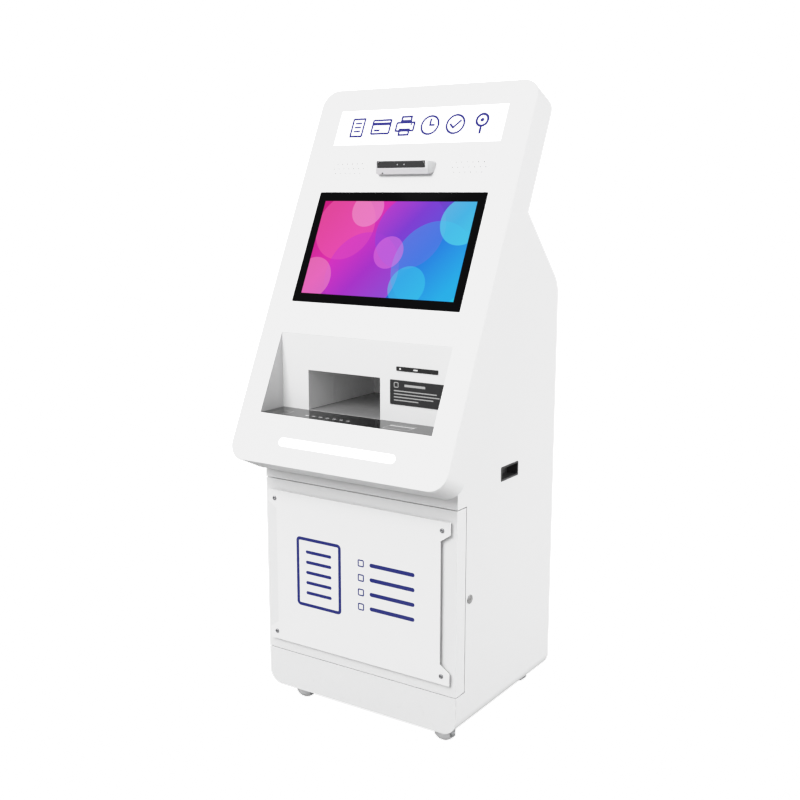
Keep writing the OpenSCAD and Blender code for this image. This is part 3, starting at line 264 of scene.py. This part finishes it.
def zinc_steel(name, metal, spangle=160.0):
    """Zinc-plated steel with its small crystals and uneven shine."""
    material, tree, shader = new_material(name, Metallic=1.0)
    surface(tree, shader, use_group(tree, plated_zinc, Metal=metal, Spangle=spangle), spangle_height)
    return material


def moulded_plastic(name, plastic, gloss=0.4, grain=700.0):
    """Moulded plastic with a fine grain and slightly worn high spots."""
    material, tree, shader = new_material(name)
    surface(tree, shader, use_group(tree, moulded, Plastic=plastic, Gloss=gloss, Grain=grain), grain_height)
    return material


def wheel_finish(name):
    """Rubber outside and plastic inside the wheel's own hub radius."""
    low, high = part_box(name)
    material, tree, shader = new_material(name + "_finish")
    point = add(tree, "TexCoord").outputs["Object"]
    from_axle = add(tree, "VectorMath", point, (low + high) / 2, operation="SUBTRACT").outputs[0]
    radial = add(tree, "VectorMath", from_axle, (0.0, 1.0, 1.0), operation="MULTIPLY").outputs[0]
    radius = add(tree, "VectorMath", radial, operation="LENGTH").outputs["Value"]
    tread = spread(tree, radius, hub_reach - hub_blur, hub_reach + hub_blur, 0.0, 1.0)
    plastic = tint(tree, tread, hub_grey, tread_grey)
    surface(tree, shader, use_group(tree, moulded, Plastic=plastic, Gloss=0.5, Grain=900.0), tread_height)
    return material


caster_zinc = zinc_steel("caster_zinc", zinc)
for corner in ("front_left", "front_right", "rear_left", "rear_right"):
    dress(caster_zinc, "fork_" + corner)
    dress(wheel_finish("wheel_" + corner), "wheel_" + corner)
    soften(fork_edge, "fork_" + corner)
    soften(fine_edge, "wheel_" + corner)
dress(caster_zinc, "caster_plates", "caster_bolts")
soften(sheet_edge, "caster_plates", "caster_bolts")

# Inside units: the printer sits on a shelf on two rails, and the computer and the power supply stand on
# the cabinet's floor. The shelf is plated sheet, the printer a plastic case and the others sheet cases.

plated_grey = (0.63, 0.64, 0.65)
computer_black = (0.05, 0.05, 0.055)
printer_grey = (0.50, 0.51, 0.53)
# The chute's walls are painted lighter than the white coat: painted light against the shade deep in the
# chute.
chute_wall_painted_light = (0.84, 0.84, 0.842)
chute_floor_grey = (0.26, 0.26, 0.262)
bay_rim = 0.001
bay_depth = 0.2
bay_floor = 0.003
fine_grain_height = 0.00003
small_edge = 0.0005
case_edge = 0.0012
bay_low, bay_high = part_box("outlet_chute")


def bay_painted_light(tree, place):
    """Walls painted lighter than the white coat, as painted light that lifts the chute's deep shade, over a
    darker grey floor.
    """
    low_down = sums(tree, "LESS_THAN", place.outputs["Z"], bay_low.z + bay_floor)
    return tint(tree, low_down, chute_wall_painted_light, chute_floor_grey)


plated_sheet = zinc_steel("plated_sheet", plated_grey, spangle=90.0)
computer_paint = painted_steel("computer_paint", computer_black)
dress(plated_sheet, "shelf_rails", "printer_shelf", "power_supply")
dress(computer_paint, "computer")

printer_plastic, tree, shader = new_material("printer_plastic")
place = add(tree, "SeparateXYZ", add(tree, "TexCoord").outputs["Object"])
# Near the chute's end the printer's case takes the chute's colours, with the walls' painted light.
bay = sums(tree, "LESS_THAN", place.outputs["Y"], bay_high.y + bay_depth)
for axis, near, far in (("X", bay_low.x, bay_high.x), ("Z", bay_low.z, bay_high.z)):
    bay = sums(tree, "MULTIPLY", bay, sums(tree, "GREATER_THAN", place.outputs[axis], near - bay_rim))
    bay = sums(tree, "MULTIPLY", bay, sums(tree, "LESS_THAN", place.outputs[axis], far + bay_rim))
case_colour = tint(tree, bay, printer_grey, bay_painted_light(tree, place))
case_finish = use_group(tree, moulded, Plastic=case_colour, Gloss=0.45, Grain=700.0)
surface(tree, shader, case_finish, fine_grain_height)
dress(printer_plastic, "printer")
soften(small_edge, "shelf_rails", "printer_shelf", "power_supply", "computer")
soften(case_edge, "printer")

# Mains inlet: a moulded socket with three contacts and a rocker switch, pressed into the rear panel.
# The rocker is a red moulding that tilts on two small trunnions.

nylon_black = (0.012, 0.012, 0.013)
rocker_red = (0.42, 0.012, 0.012)

black_plastic = moulded_plastic("black_plastic", nylon_black, gloss=0.42)
switch_red = moulded_plastic("switch_red", rocker_red, gloss=0.28)
dress(black_plastic, "mains_inlet")
dress(switch_red, "mains_switch")
soften(fine_edge, "mains_inlet", "mains_switch")

# Fan: a square frame under the slots of the rear slope, with a rotor on its shaft.
# Both are black glass-filled nylon mouldings.

dress(black_plastic, "fan_frame", "fan_rotor")
soften(fine_edge, "fan_frame", "fan_rotor")

# Head: a deep folded tray with round corners that leans back, closed by a flat sheet behind.
# It is the same coated steel, and its openings are laser cut before it is folded.

head_bend = 0.003
bend_steps = 4
head_corner = 0.0475
face_slack = 0.0002
rim_slack = 0.0003
sound_half = 0.022
sound_margin = 0.02
lean = math.radians(25)
lean_up = Vector((0.0, math.sin(lean), math.cos(lean)))
lean_out = Vector((0.0, -math.cos(lean), math.sin(lean)))


def copy_of(name, label, merge=merge_reach, sliver=0.00001):
    """A new piece from a CAD node's mesh, with its doubled points merged."""
    bpy.ops.object.select_all(action="DESELECT")
    piece = bpy.data.objects.new(label, nodes[name].data.copy())
    bpy.context.scene.collection.objects.link(piece)
    bpy.context.view_layer.objects.active = piece
    piece.select_set(True)
    bpy.ops.object.mode_set(mode="EDIT")
    bpy.ops.mesh.select_mode(type="EDGE")
    bpy.ops.mesh.select_all(action="SELECT")
    bpy.ops.mesh.remove_doubles(threshold=merge)
    bpy.ops.mesh.dissolve_degenerate(threshold=sliver)
    bpy.ops.mesh.select_all(action="DESELECT")
    bpy.ops.object.mode_set(mode="OBJECT")
    return piece


def join_flats(piece, apart, flat=flat_turn):
    """Makes flat faces whole, apart from those whose points are all in a zone that is left as it is."""
    points = [apart(point.co) for point in piece.data.vertices]
    for edge in piece.data.edges:
        edge.select = not all(points[end] for end in edge.vertices)
    bpy.ops.object.mode_set(mode="EDIT")
    bpy.ops.mesh.dissolve_limited(angle_limit=flat)
    bpy.ops.mesh.select_all(action="DESELECT")
    bpy.ops.object.mode_set(mode="OBJECT")


def round_edges(piece, width, segments, share, sharp=math.radians(30)):
    """Rounds the piece's sharp edges, each by the share of the width that its two ends give it."""
    bpy.ops.object.mode_set(mode="EDIT")
    bpy.ops.mesh.select_mode(type="EDGE")
    bpy.ops.mesh.select_all(action="DESELECT")
    bpy.ops.mesh.edges_select_sharp(sharpness=sharp)
    bpy.ops.object.mode_set(mode="OBJECT")
    points = [point.co for point in piece.data.vertices]
    weights = [share(*(points[end] for end in edge.vertices)) * edge.select for edge in piece.data.edges]
    piece.data.attributes.new("bevel_weight_edge", "FLOAT", "EDGE").data.foreach_set("value", weights)
    rounding = piece.modifiers.new("rounding", "BEVEL")
    rounding.limit_method = "WEIGHT"
    rounding.width = width
    rounding.segments = segments
    rounding.use_clamp_overlap = False
    bpy.ops.object.modifier_apply(modifier="rounding")


def fit(piece, material, node, body, flat_area=0.0001, smooth=math.radians(35), facing=0.9999):
    """Finishes a piece that stands for a CAD node: smooth bends, flat large faces, its body and its
    material.
    """
    bpy.ops.object.shade_smooth_by_angle(angle=smooth)
    for face in piece.data.polygons:
        face.use_smooth = face.area < flat_area and abs(face.normal.dot(lean_out)) < facing
    piece.data.materials.clear()
    piece.data.materials.append(material)
    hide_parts(node)
    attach(piece, body)


head_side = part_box("head_fascia")[1].x
head_points = [point.co for point in nodes["head_fascia"].data.vertices]
head_foot = min(head_points, key=lambda point: point.y)
head_top = max((point - head_foot).dot(lean_up) for point in head_points)


def on_head_rim(point):
    """Whether a point is on the outer edge of the head's front face."""
    from_foot = point - head_foot
    over = max(abs(point.x) - (head_side - head_corner), 0.0)
    up = max(abs(from_foot.dot(lean_up) - head_top / 2) - (head_top / 2 - head_corner), 0.0)
    return abs(from_foot.dot(lean_out)) < face_slack and math.hypot(over, up) > head_corner - rim_slack


sound_low, sound_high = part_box("speakers")
sound_up = ((sound_low + sound_high) / 2 - head_foot).dot(lean_up)
sound_side = sound_high.x + sound_margin


def by_sound_holes(point, slack=0.00001):
    """Whether a point is in the level band of the head that has the two groups of sound holes."""
    up = (point - head_foot).dot(lean_up) - sound_up
    return abs(up) < sound_half + slack and abs(point.x) < sound_side + slack


head_front = copy_of("head_fascia", "head_front")
bpy.ops.object.mode_set(mode="EDIT")
for side in (-1, 1):
    for cut, across in ((head_foot + lean_up * (sound_up + side * sound_half), lean_up),
                        (Vector((side * sound_side, 0.0, 0.0)), Vector((1.0, 0.0, 0.0)))):
        bpy.ops.mesh.select_all(action="SELECT")
        bpy.ops.mesh.bisect(plane_co=cut, plane_no=across)
bpy.ops.object.mode_set(mode="OBJECT")
join_flats(head_front, by_sound_holes)
round_edges(head_front, head_bend, bend_steps, lambda *ends: all(map(on_head_rim, ends)))
fit(head_front, white_steel, "head_fascia", "cabinet")
dress(white_steel, "head_back")
soften(sheet_edge, "head_back")

# Recess: a welded white liner with a level floor, a black glass plate on that floor, and a grey chute
# through its rear wall to the printer, whose walls are painted lighter, as painted light in its shade.
# A dark notice plate and a status strip are glued to the wall.

tray_black = (0.006, 0.006, 0.007)
tray_mark_grey = (0.5, 0.5, 0.5)
notice_black = (0.028, 0.028, 0.029)
notice_mark_grey = (0.4, 0.4, 0.4)
strip_dark = (0.008, 0.008, 0.008)
strip_mark_white = (0.72, 0.72, 0.72)
reader_black = (0.04, 0.04, 0.042)
edge_blur = 0.00018
solid = 1000.0
level = math.radians(90)
upright = 0.0

mark, enter, leave = shader_group(
    "printed_mark",
    [("Point", "Vector", (0.0, 0.0, 0.0)), ("Middle", "Vector", (0.0, 0.0, 0.0)),
     ("Half", "Vector", (0.01, 0.0, 0.01)), ("Corner", "Float", 0.0), ("Line", "Float", 1.0),
     ("Turn", "Float", 0.0)],
    [("Ink", "Float")])
from_middle = add(mark, "VectorMath", enter.outputs["Point"], enter.outputs["Middle"],
                  operation="SUBTRACT").outputs[0]
turned = add(mark, "VectorRotate", from_middle, rotation_type="Y_AXIS")
feed(mark, turned.inputs["Angle"], enter.outputs["Turn"])
in_plane = add(mark, "VectorMath", turned.outputs[0], (1.0, 0.0, 1.0), operation="MULTIPLY").outputs[0]
beyond = add(mark, "VectorMath", add(mark, "VectorMath", in_plane, operation="ABSOLUTE").outputs[0],
             enter.outputs["Half"], operation="SUBTRACT").outputs[0]
sides = add(mark, "SeparateXYZ", beyond)
across = sums(mark, "ADD", sides.outputs["X"], enter.outputs["Corner"])
along = sums(mark, "ADD", sides.outputs["Z"], enter.outputs["Corner"])
outside = add(mark, "CombineXYZ", sums(mark, "MAXIMUM", across, 0.0), 0.0,
              sums(mark, "MAXIMUM", along, 0.0)).outputs[0]
far = add(mark, "VectorMath", outside, operation="LENGTH").outputs["Value"]
within = sums(mark, "MINIMUM", sums(mark, "MAXIMUM", across, along), 0.0)
distance = sums(mark, "SUBTRACT", sums(mark, "ADD", far, within), enter.outputs["Corner"])
half_line = sums(mark, "MULTIPLY", enter.outputs["Line"], 0.5)
to_line = sums(mark, "SUBTRACT", sums(mark, "ABSOLUTE", sums(mark, "ADD", distance, half_line)), half_line)
finish_group(mark, leave, spread(mark, to_line, -edge_blur, edge_blur, 1.0, 0.0, smooth=True))


def flat_point(tree, name, lean):
    """A point on a flat piece, from its middle: x across and z up, once its lean is undone."""
    low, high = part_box(name)
    turn = Matrix.Rotation(lean, 3, "X")
    mapping = add(tree, "Mapping", add(tree, "TexCoord").outputs["Object"])
    mapping.inputs["Location"].default_value = -(turn @ ((low + high) / 2))
    mapping.inputs["Rotation"].default_value = (lean, 0.0, 0.0)
    return mapping.outputs[0]


def printed(tree, point, strokes):
    """The ink of all strokes: each is x, z, width, height, corner and line in millimetres, and its turn."""
    ink = None
    for x, z, width, height, corner, line, *turn in strokes:
        stroke = use_group(tree, mark, Point=point, Middle=(x / 1000, 0.0, z / 1000),
                           Half=(width / 2000, 1.0, height / 2000), Corner=corner / 1000, Line=line / 1000)
        stroke.inputs["Turn"].default_value = math.radians(turn[0]) if turn else 0.0
        ink = stroke.outputs[0] if ink is None else sums(tree, "MAXIMUM", ink, stroke.outputs[0])
    return ink


tray_marks = [(-70 + 22 * step, -16, 11, 8, 3, solid) for step in range(-3, 4)]
tray_marks += [(150, -8, 74, 46, 5, 1.2), (150, 2, 74, 7, 0, solid)]
tray_marks += [(-218, -14, 44, 38, 4, 1.2)]
tray_glass, tree, shader = new_material("tray_glass", Roughness=0.03, Specular_IOR_Level=0.8)
tray_ink = printed(tree, flat_point(tree, "tray_glass", level), tray_marks)
feed(tree, shader.inputs["Base Color"], tint(tree, tray_ink, tray_black, tray_mark_grey))
dress(tray_glass, "tray_glass")

notice_bars = [(-6, 19, 62, 6, 1, solid), (-62, 19, 14, 14, 3, 2)]
notice_bars += [(length / 2 - 69, row, length, 2.6, 1, solid)
                for row, length in ((4, 128), (-4, 136), (-12, 118), (-20, 74))]
notice_grey, tree, shader = new_material("notice_grey", Roughness=0.42, Specular_IOR_Level=0.15)
notice_ink = printed(tree, flat_point(tree, "notice_plate", upright), notice_bars)
feed(tree, shader.inputs["Base Color"], tint(tree, notice_ink, notice_black, notice_mark_grey))
dress(notice_grey, "notice_plate")

strip_black, tree, shader = new_material("strip_black", Roughness=0.12)
strip_ink = printed(tree, flat_point(tree, "status_strip", upright),
                    [(-50, 0, 5, 5, 2.5, solid), (-4, 0, 13, 3.6, 1.8, solid)])
feed(tree, shader.inputs["Base Color"], tint(tree, strip_ink, strip_dark, strip_mark_white))
dress(strip_black, "status_strip")

dress(white_steel, "recess_liner")
chute_steel, tree, shader = new_material("chute_steel")
place = add(tree, "SeparateXYZ", add(tree, "TexCoord").outputs["Object"])
# Chute: walls with painted light over the grey floor.
surface(tree, shader, use_group(tree, powder_coat, Paint=bay_painted_light(tree, place)), peel_height)
dress(chute_steel, "outlet_chute")
dress(moulded_plastic("reader_plastic", reader_black), "card_reader")
soften(sheet_edge, "recess_liner", "outlet_chute", "card_reader")
soften(fine_edge, "tray_glass", "notice_plate", "status_strip")

# Screen: a display module held by two rails behind a sheet of touch glass that is bonded into the head.
# The glass is clear over the picture and printed black behind its border.

picture_size = (476.6, 266.6)
picture_up = -0.3
fade_slant = -0.8
fade_reach = 0.3
border_black = (0.0022, 0.0022, 0.0025)
picture_black = (0.002, 0.002, 0.002)
unlit = (0.0, 0.0, 0.0)

dress(plated_sheet, "lcd_module", "screen_rails")
soften(sheet_edge, "lcd_module", "screen_rails")

screen_glass, tree, shader = new_material("screen_glass", Roughness=0.06, Emission_Strength=1.0,
                                          Specular_IOR_Level=0.015)
point = flat_point(tree, "touch_glass", lean)
spot = add(tree, "SeparateXYZ", point)
slant = sums(tree, "ADD", spot.outputs["X"], sums(tree, "MULTIPLY", spot.outputs["Z"], fade_slant))
fade = add(tree, "ValToRGB", spread(tree, slant, -fade_reach, fade_reach, 0.0, 1.0))
stops = ((0.0, (0.60, 0.01, 0.22)), (0.28, (0.75, 0.03, 0.45)), (0.5, (0.22, 0.03, 0.55)),
         (0.72, (0.02, 0.10, 0.70)), (1.0, (0.02, 0.55, 0.85)))
while len(fade.color_ramp.elements) < len(stops):
    fade.color_ramp.elements.new(0.5)
for element, (position, colour) in zip(fade.color_ramp.elements, stops):
    element.position = position
    element.color = (*colour, 1.0)
picture = fade.outputs[0]
discs = ((-150, 60, 190, (0.95, 0.10, 0.42), 0.55), (-60, -70, 230, (0.55, 0.03, 0.60), 0.50),
         (60, 50, 210, (0.20, 0.06, 0.75), 0.50), (150, -40, 240, (0.02, 0.30, 0.90), 0.50),
         (210, 80, 130, (0.10, 0.75, 0.95), 0.55), (-215, -90, 120, (0.95, 0.25, 0.55), 0.50),
         (10, -10, 90, (0.85, 0.20, 0.80), 0.40), (90, -100, 110, (0.05, 0.65, 0.95), 0.45),
         (-90, 110, 100, (1.00, 0.40, 0.70), 0.40))
for x, z, size, colour, strength in discs:
    disc = printed(tree, point, [(x, z, size, size, size / 2, solid)])
    picture = tint(tree, sums(tree, "MULTIPLY", disc, strength), picture, colour)
lit = printed(tree, point, [(0, picture_up, *picture_size, 0, solid)])
feed(tree, shader.inputs["Emission Color"], tint(tree, lit, unlit, picture))
feed(tree, shader.inputs["Base Color"], tint(tree, lit, border_black, picture_black))
dress(screen_glass, "touch_glass")
soften(sheet_edge, "touch_glass")

# Lit sign and light bar: opal acrylic covers, held from behind by their rims, over boards of white lamps.
# The sign's light box is a shallow plated tray.

sign_white = (0.9, 0.9, 0.9)
sign_blue = (0.02, 0.02, 0.16)
sign_glow = (1.0, 1.0, 1.0)
ink_glow = (0.0, 0.0, 0.02)
bar_whites = ((0.88, 0.88, 0.88), (0.92, 0.92, 0.92))
bar_glows = ((0.97, 0.97, 0.97), (1.0, 1.0, 1.0))
board_cream = (0.62, 0.63, 0.58)
pictogram_first = -195
pictogram_pitch = 78


def page(x):
    """A sheet of paper with three lines."""
    return [(x, 0, 44, 58, 5, 6)] + [(x, z, 22, 5, 2, solid) for z in (13, 1, -11)]


def card(x):
    """A card with its dark stripe."""
    return [(x, 0, 64, 46, 6, 6), (x, 9, 60, 9, 0, solid), (x - 12, -10, 20, 6, 2, solid)]


def printer_sign(x):
    """A printer with paper above and below it, and one lamp."""
    case_and_paper = [(x, -2, 62, 30, 5, 6), (x, 21, 36, 18, 2, 6), (x, -18, 36, 22, 2, 6)]
    return case_and_paper + [(x + 18, 4, 6, 6, 3, solid)]


def clock(x):
    """A clock's ring and two hands."""
    return [(x, 0, 58, 58, 29, 6), (x, 8, 6, 22, 2, solid), (x + 6, 0, 18, 6, 2, solid)]


def tick(x):
    """A tick in a ring."""
    return [(x, 0, 58, 58, 29, 6), (x - 10, -5, 6, 18, 2, solid, 45), (x + 5, 0, 6, 32, 2, solid, -45)]


def pin(x):
    """A map pin: a ring with a dot, on a short stem."""
    return [(x, 9, 40, 40, 20, 7), (x, 9, 11, 11, 5.5, solid), (x, -20, 7, 20, 3, solid)]


sign_marks = []
for step, pictogram in enumerate((page, card, printer_sign, clock, tick, pin)):
    sign_marks += pictogram(pictogram_first + pictogram_pitch * step)
sign_lit, tree, shader = new_material("sign_lit", Roughness=0.35, Emission_Strength=1.0,
                                      Specular_IOR_Level=0.08)
sign_ink = printed(tree, flat_point(tree, "sign_panel", lean), sign_marks)
feed(tree, shader.inputs["Base Color"], tint(tree, sign_ink, sign_white, sign_blue))
feed(tree, shader.inputs["Emission Color"], tint(tree, sign_ink, sign_glow, ink_glow))
dress(sign_lit, "sign_panel")

bar_lit, tree, shader = new_material("bar_lit", Roughness=0.35, Emission_Strength=1.0)
bar_cloud = noise(tree, add(tree, "TexCoord").outputs["Object"], 40.0)
feed(tree, shader.inputs["Base Color"], tint(tree, bar_cloud, *bar_whites))
feed(tree, shader.inputs["Emission Color"], tint(tree, bar_cloud, *bar_glows))
dress(bar_lit, "light_bar")

lamp_board = moulded_plastic("lamp_board", board_cream)
dress(plated_sheet, "sign_box")
dress(lamp_board, "sign_board", "light_bar_board")
soften(fine_edge, "sign_panel", "light_bar", "sign_box", "sign_board", "light_bar_board")

# Camera: a moulded hood that sits on the leaning head, with an upright dark window over two lenses.
# The hood is white plastic, the window tinted acrylic, and a circuit board stands behind the lenses.

hood_round = 0.008
hood_gap = 0.0008
hood_flat = 0.0008
chin_round = 0.002
chin_in = 0.007
chin_high = 0.015
chin_share = 0.9
chin_slack = 0.0004
front_slack = 0.0005
hood_paint = (0.66, 0.662, 0.665)
# The chin's small slot is not cut: a black patch is painted there, as painted shade of the hole.
hood_hole_painted_shade = (-61.3, -14.5, 5, 3.6, 1.8, solid)
hole_shade_black = (0.01, 0.01, 0.01)
window_tint = (0.026, 0.026, 0.027)
lens_grey = (0.5, 0.51, 0.52)
lens_across = 3.4
lens_from_middle = 10.5
board_green = (0.01, 0.09, 0.03)
hood_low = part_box("camera_hood")[0]
window_low, window_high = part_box("camera_window")


def under_chin(point):
    """Whether a point is on the lower part of the hood's sloping chin."""
    up = (point.z - hood_low.z) / chin_high
    return up < chin_share and abs(point.y - hood_low.y - chin_in * (1.0 - up)) < chin_slack


def hood_share(*ends):
    """Rounds the hood's front edges, as far as the room up to the window allows, and its chin a little."""
    if all(map(under_chin, ends)):
        return chin_round / hood_round
    if max(end.y for end in ends) > hood_low.y + front_slack:
        return 0.0
    middle = sum(ends, Vector()) / len(ends)
    beside = max(abs(middle.x) - window_high.x, 0.0)
    above = max(middle.z - window_high.z, window_low.z - middle.z, 0.0)
    return min(max(math.hypot(beside, above) - hood_gap, 0.0) / hood_round, 1.0)


hood_white, tree, shader = new_material("hood_white")
# Painted shade: the black patch stands for the slot's dark inside.
hole_shade_ink = printed(tree, flat_point(tree, "camera_hood", upright), [hood_hole_painted_shade])
hood_colour = tint(tree, hole_shade_ink, hood_paint, hole_shade_black)
hood_finish = use_group(tree, moulded, Plastic=hood_colour, Gloss=0.36, Grain=900.0)
surface(tree, shader, hood_finish, fine_grain_height)
camera_case = copy_of("camera_hood", "camera_case")
join_flats(camera_case, lambda point: False)
round_edges(camera_case, hood_round, bend_steps, hood_share)
fit(camera_case, hood_white, "camera_hood", "cabinet", hood_flat)

window_black, tree, shader = new_material("window_black", Roughness=0.1)
lens_ink = printed(tree, flat_point(tree, "camera_window", upright),
                   [(side * lens_from_middle, 0, lens_across, lens_across, lens_across / 2, solid)
                    for side in (-1, 1)])
feed(tree, shader.inputs["Base Color"], tint(tree, lens_ink, window_tint, lens_grey))
dress(window_black, "camera_window")
dress(black_plastic, "camera_lenses")
dress(moulded_plastic("circuit_board", board_green), "camera_board")
soften(fine_edge, "camera_window", "camera_lenses", "camera_board")

# Speakers: two small sealed units clamped behind the sound holes.
# Their frames are black plastic.

dress(black_plastic, "speakers")
soften(small_edge, "speakers")

# Grips: finger cups that are pressed into the cabinet's sides, for lifting and pushing.
# They are moulded in black nylon.

dress(black_plastic, "left_grip", "right_grip")
soften(small_edge, "left_grip", "right_grip")

# Front door: a folded white pan on two hinge pins, with a poster plate on four spacers in front of it.
# The plate is coated aluminium with notched sides, fixed by four domed screws.

poster_blue = (0.014, 0.02, 0.16)
plate_white = (0.77, 0.77, 0.772)
poster_marks = [(-120, 0, 150, 196, 12, 9)]
poster_marks += [(-120, z, 86, 9, 4.5, solid) for z in (58, 29, 0, -29, -58)]
for row in (60, 20, -20, -60):
    poster_marks += [(20, row, 20, 20, 4, 3.5), (118, row, 140, 11, 5.5, solid)]
plate_paint, tree, shader = new_material("plate_paint", Specular_IOR_Level=0.2)
poster_ink = printed(tree, flat_point(tree, "poster_plate", upright), poster_marks)
poster_colour = tint(tree, poster_ink, plate_white, poster_blue)
surface(tree, shader, use_group(tree, powder_coat, Paint=poster_colour), peel_height)
dress(plate_paint, "poster_plate")

dress(low_steel, "front_door")
dress(plated_sheet, "hinge_brackets", "hinge_pins", "plate_spacers", "door_catch", "side_lock_cam")

screw_grey = (0.34, 0.34, 0.35)
screw_radius = 0.006
screw_sides = 48
dome_share = 0.6
dome_steps = 5
socket_across = 0.005
socket_deep = 0.0022
socket_sides = 6
pin_edge = 0.0003
screw_low, screw_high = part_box("plate_screws")
plate_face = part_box("poster_plate")[0].y
screw_reach = plate_face - screw_low.y
across_y = (math.radians(90), 0.0, 0.0)


def on_dome(*ends):
    """Rounds the front edge of a screw's head and leaves the edge at the plate."""
    return float(all(end.y < plate_face - screw_reach / 2 for end in ends))


bpy.ops.object.select_all(action="DESELECT")
screws = []
for x in (screw_low.x + screw_radius, screw_high.x - screw_radius):
    for z in (screw_low.z + screw_radius, screw_high.z - screw_radius):
        bpy.ops.mesh.primitive_cylinder_add(vertices=screw_sides, radius=screw_radius, depth=screw_reach,
                                            location=(x, plate_face - screw_reach / 2, z),
                                            rotation=across_y)
        screw = bpy.context.object
        bpy.ops.object.transform_apply(location=True, rotation=True, scale=True)
        round_edges(screw, screw_reach * dome_share, dome_steps, on_dome)
        bpy.ops.mesh.primitive_cylinder_add(vertices=socket_sides, radius=socket_across / math.sqrt(3),
                                            depth=2 * socket_deep, location=(x, screw_low.y, z),
                                            rotation=across_y)
        socket = bpy.context.object
        cut = screw.modifiers.new("socket", "BOOLEAN")
        cut.operation = "DIFFERENCE"
        cut.solver = "EXACT"
        cut.object = socket
        bpy.context.view_layer.objects.active = screw
        bpy.ops.object.modifier_apply(modifier="socket")
        bpy.data.objects.remove(socket)
        screws.append(screw)
bpy.ops.object.select_all(action="DESELECT")
for screw in screws:
    screw.select_set(True)
bpy.context.view_layer.objects.active = screws[0]
bpy.ops.object.join()
bpy.ops.object.transform_apply(location=True, rotation=True, scale=True)
screws[0].name = "dome_screws"
screw_steel = zinc_steel("screw_steel", screw_grey, spangle=300.0)
fit(screws[0], screw_steel, "plate_screws", "front_door")
soften(sheet_edge, "front_door")
soften(small_edge, "poster_plate", "hinge_brackets", "door_catch", "side_lock_cam")
soften(pin_edge, "hinge_pins", "plate_spacers")

# Locks: a nickel-plated barrel in the cabinet's side and another in the rear door, each with a key plug.
# A nut at the inner end holds the plated cam.

nickel_grey = (0.42, 0.415, 0.41)

lock_nickel = zinc_steel("lock_nickel", nickel_grey, spangle=400.0)
dress(lock_nickel, "side_lock_body", "side_lock_plug", "rear_lock_body", "rear_lock_plug")
dress(plated_sheet, "rear_lock_cam")
soften(fine_edge, "side_lock_body", "side_lock_plug", "rear_lock_body", "rear_lock_plug", "rear_lock_cam")

# Rear door: a folded pan with four fields of vent slots, hung on two hinge pins.
# It is coated like the cabinet.

dress(white_steel, "rear_door")
soften(sheet_edge, "rear_door")

# Studio: a pale floor in a white room, four large soft boxes and the camera.
# The camera stands where the photograph was taken from, 1.42 m above the floor, and the film's curve
# keeps the white coat a little darker than the floor.

floor_size = 600.0
floor_greys = ((0.31, 0.31, 0.31), (0.33, 0.33, 0.33))
floor_seen = (2.0, 2.1)
floor_near = (0.5, 2.5)
floor_glow = 0.0
room_seen = 2.5
room_glow = 0.65
soft_boxes = (("front", (-1.0, -6.5, 5.3), (5.0, 4.4), 585.0),
              ("top", (-1.8, -0.6, 5.6), (4.0, 4.0), 100.0),
              ("right", (4.0, 1.6, 1.5), (3.0, 3.0), 158.0),
              ("rear", (-3.0, 4.0, 2.5), (3.0, 3.0), 110.0))
film_white = 2.1
film_curve = ((0.45, 0.45), (0.6, 0.6), (0.8, 0.755), (0.95, 0.835), (1.1, 0.868), (1.3, 0.881),
              (1.6, 0.886))
aim = Vector((0.0, 0.0, 0.9))
camera_place = (1.64025, -2.46024, 1.42062)
camera_turn = (math.radians(78.88), 0.0, math.radians(33.86))
sensor_width = 36.0
photo_width = 800
focal_pixels = 1107.02
principal_point = (397.03, 410.68)

bpy.ops.object.select_all(action="DESELECT")
bpy.ops.mesh.primitive_plane_add(size=floor_size)
floor = bpy.context.object
floor.name = "floor"
floor_pale, tree, shader = new_material("floor_pale", Roughness=0.8)
floor_place = add(tree, "TexCoord").outputs["Object"]
floor_cloud = noise(tree, floor_place, 2.0)
floor_colour = tint(tree, floor_cloud, *floor_greys)
feed(tree, shader.inputs["Base Color"], floor_colour)
feed(tree, shader.inputs["Emission Color"], (1.0, 1.0, 1.0, 1.0))
straight = add(tree, "LightPath").outputs["Is Camera Ray"]
radius = add(tree, "VectorMath", floor_place, operation="LENGTH").outputs["Value"]
seen = spread(tree, radius, *floor_near, *floor_seen)
feed(tree, shader.inputs["Emission Strength"], spread(tree, straight, 0.0, 1.0, floor_glow, seen))
floor.data.materials.append(floor_pale)

world = bpy.data.worlds.new("studio")
bpy.context.scene.world = world
world.use_nodes = True
room = world.node_tree.nodes["Background"]
room.inputs["Color"].default_value = (1.0, 1.0, 1.0, 1.0)
straight = add(world.node_tree, "LightPath").outputs["Is Camera Ray"]
feed(world.node_tree, room.inputs["Strength"],
     spread(world.node_tree, straight, 0.0, 1.0, room_glow, room_seen))

for name, stand, (width, height), power in soft_boxes:
    lamp = bpy.data.lights.new(name, "AREA")
    lamp.energy = power
    lamp.shape = "RECTANGLE"
    lamp.size = width
    lamp.size_y = height
    soft_box = bpy.data.objects.new(name, lamp)
    bpy.context.scene.collection.objects.link(soft_box)
    soft_box.location = stand
    soft_box.rotation_euler = (aim - Vector(stand)).to_track_quat("-Z", "Y").to_euler()

lens = bpy.data.cameras.new("camera")
lens.sensor_width = sensor_width
lens.lens = focal_pixels / photo_width * sensor_width
lens.shift_x = (photo_width / 2 - principal_point[0]) / photo_width
lens.shift_y = (principal_point[1] - photo_width / 2) / photo_width
camera = bpy.data.objects.new("camera", lens)
bpy.context.scene.collection.objects.link(camera)
camera.location = camera_place
camera.rotation_euler = camera_turn
bpy.context.scene.camera = camera

film = bpy.context.scene.view_settings
film.view_transform = "Standard"
film.use_curve_mapping = True
film.curve_mapping.extend = "HORIZONTAL"
film.curve_mapping.white_level = (film_white, film_white, film_white)
for light, shown in film_curve:
    film.curve_mapping.curves[3].points.new(light / film_white, shown)
film.curve_mapping.update()
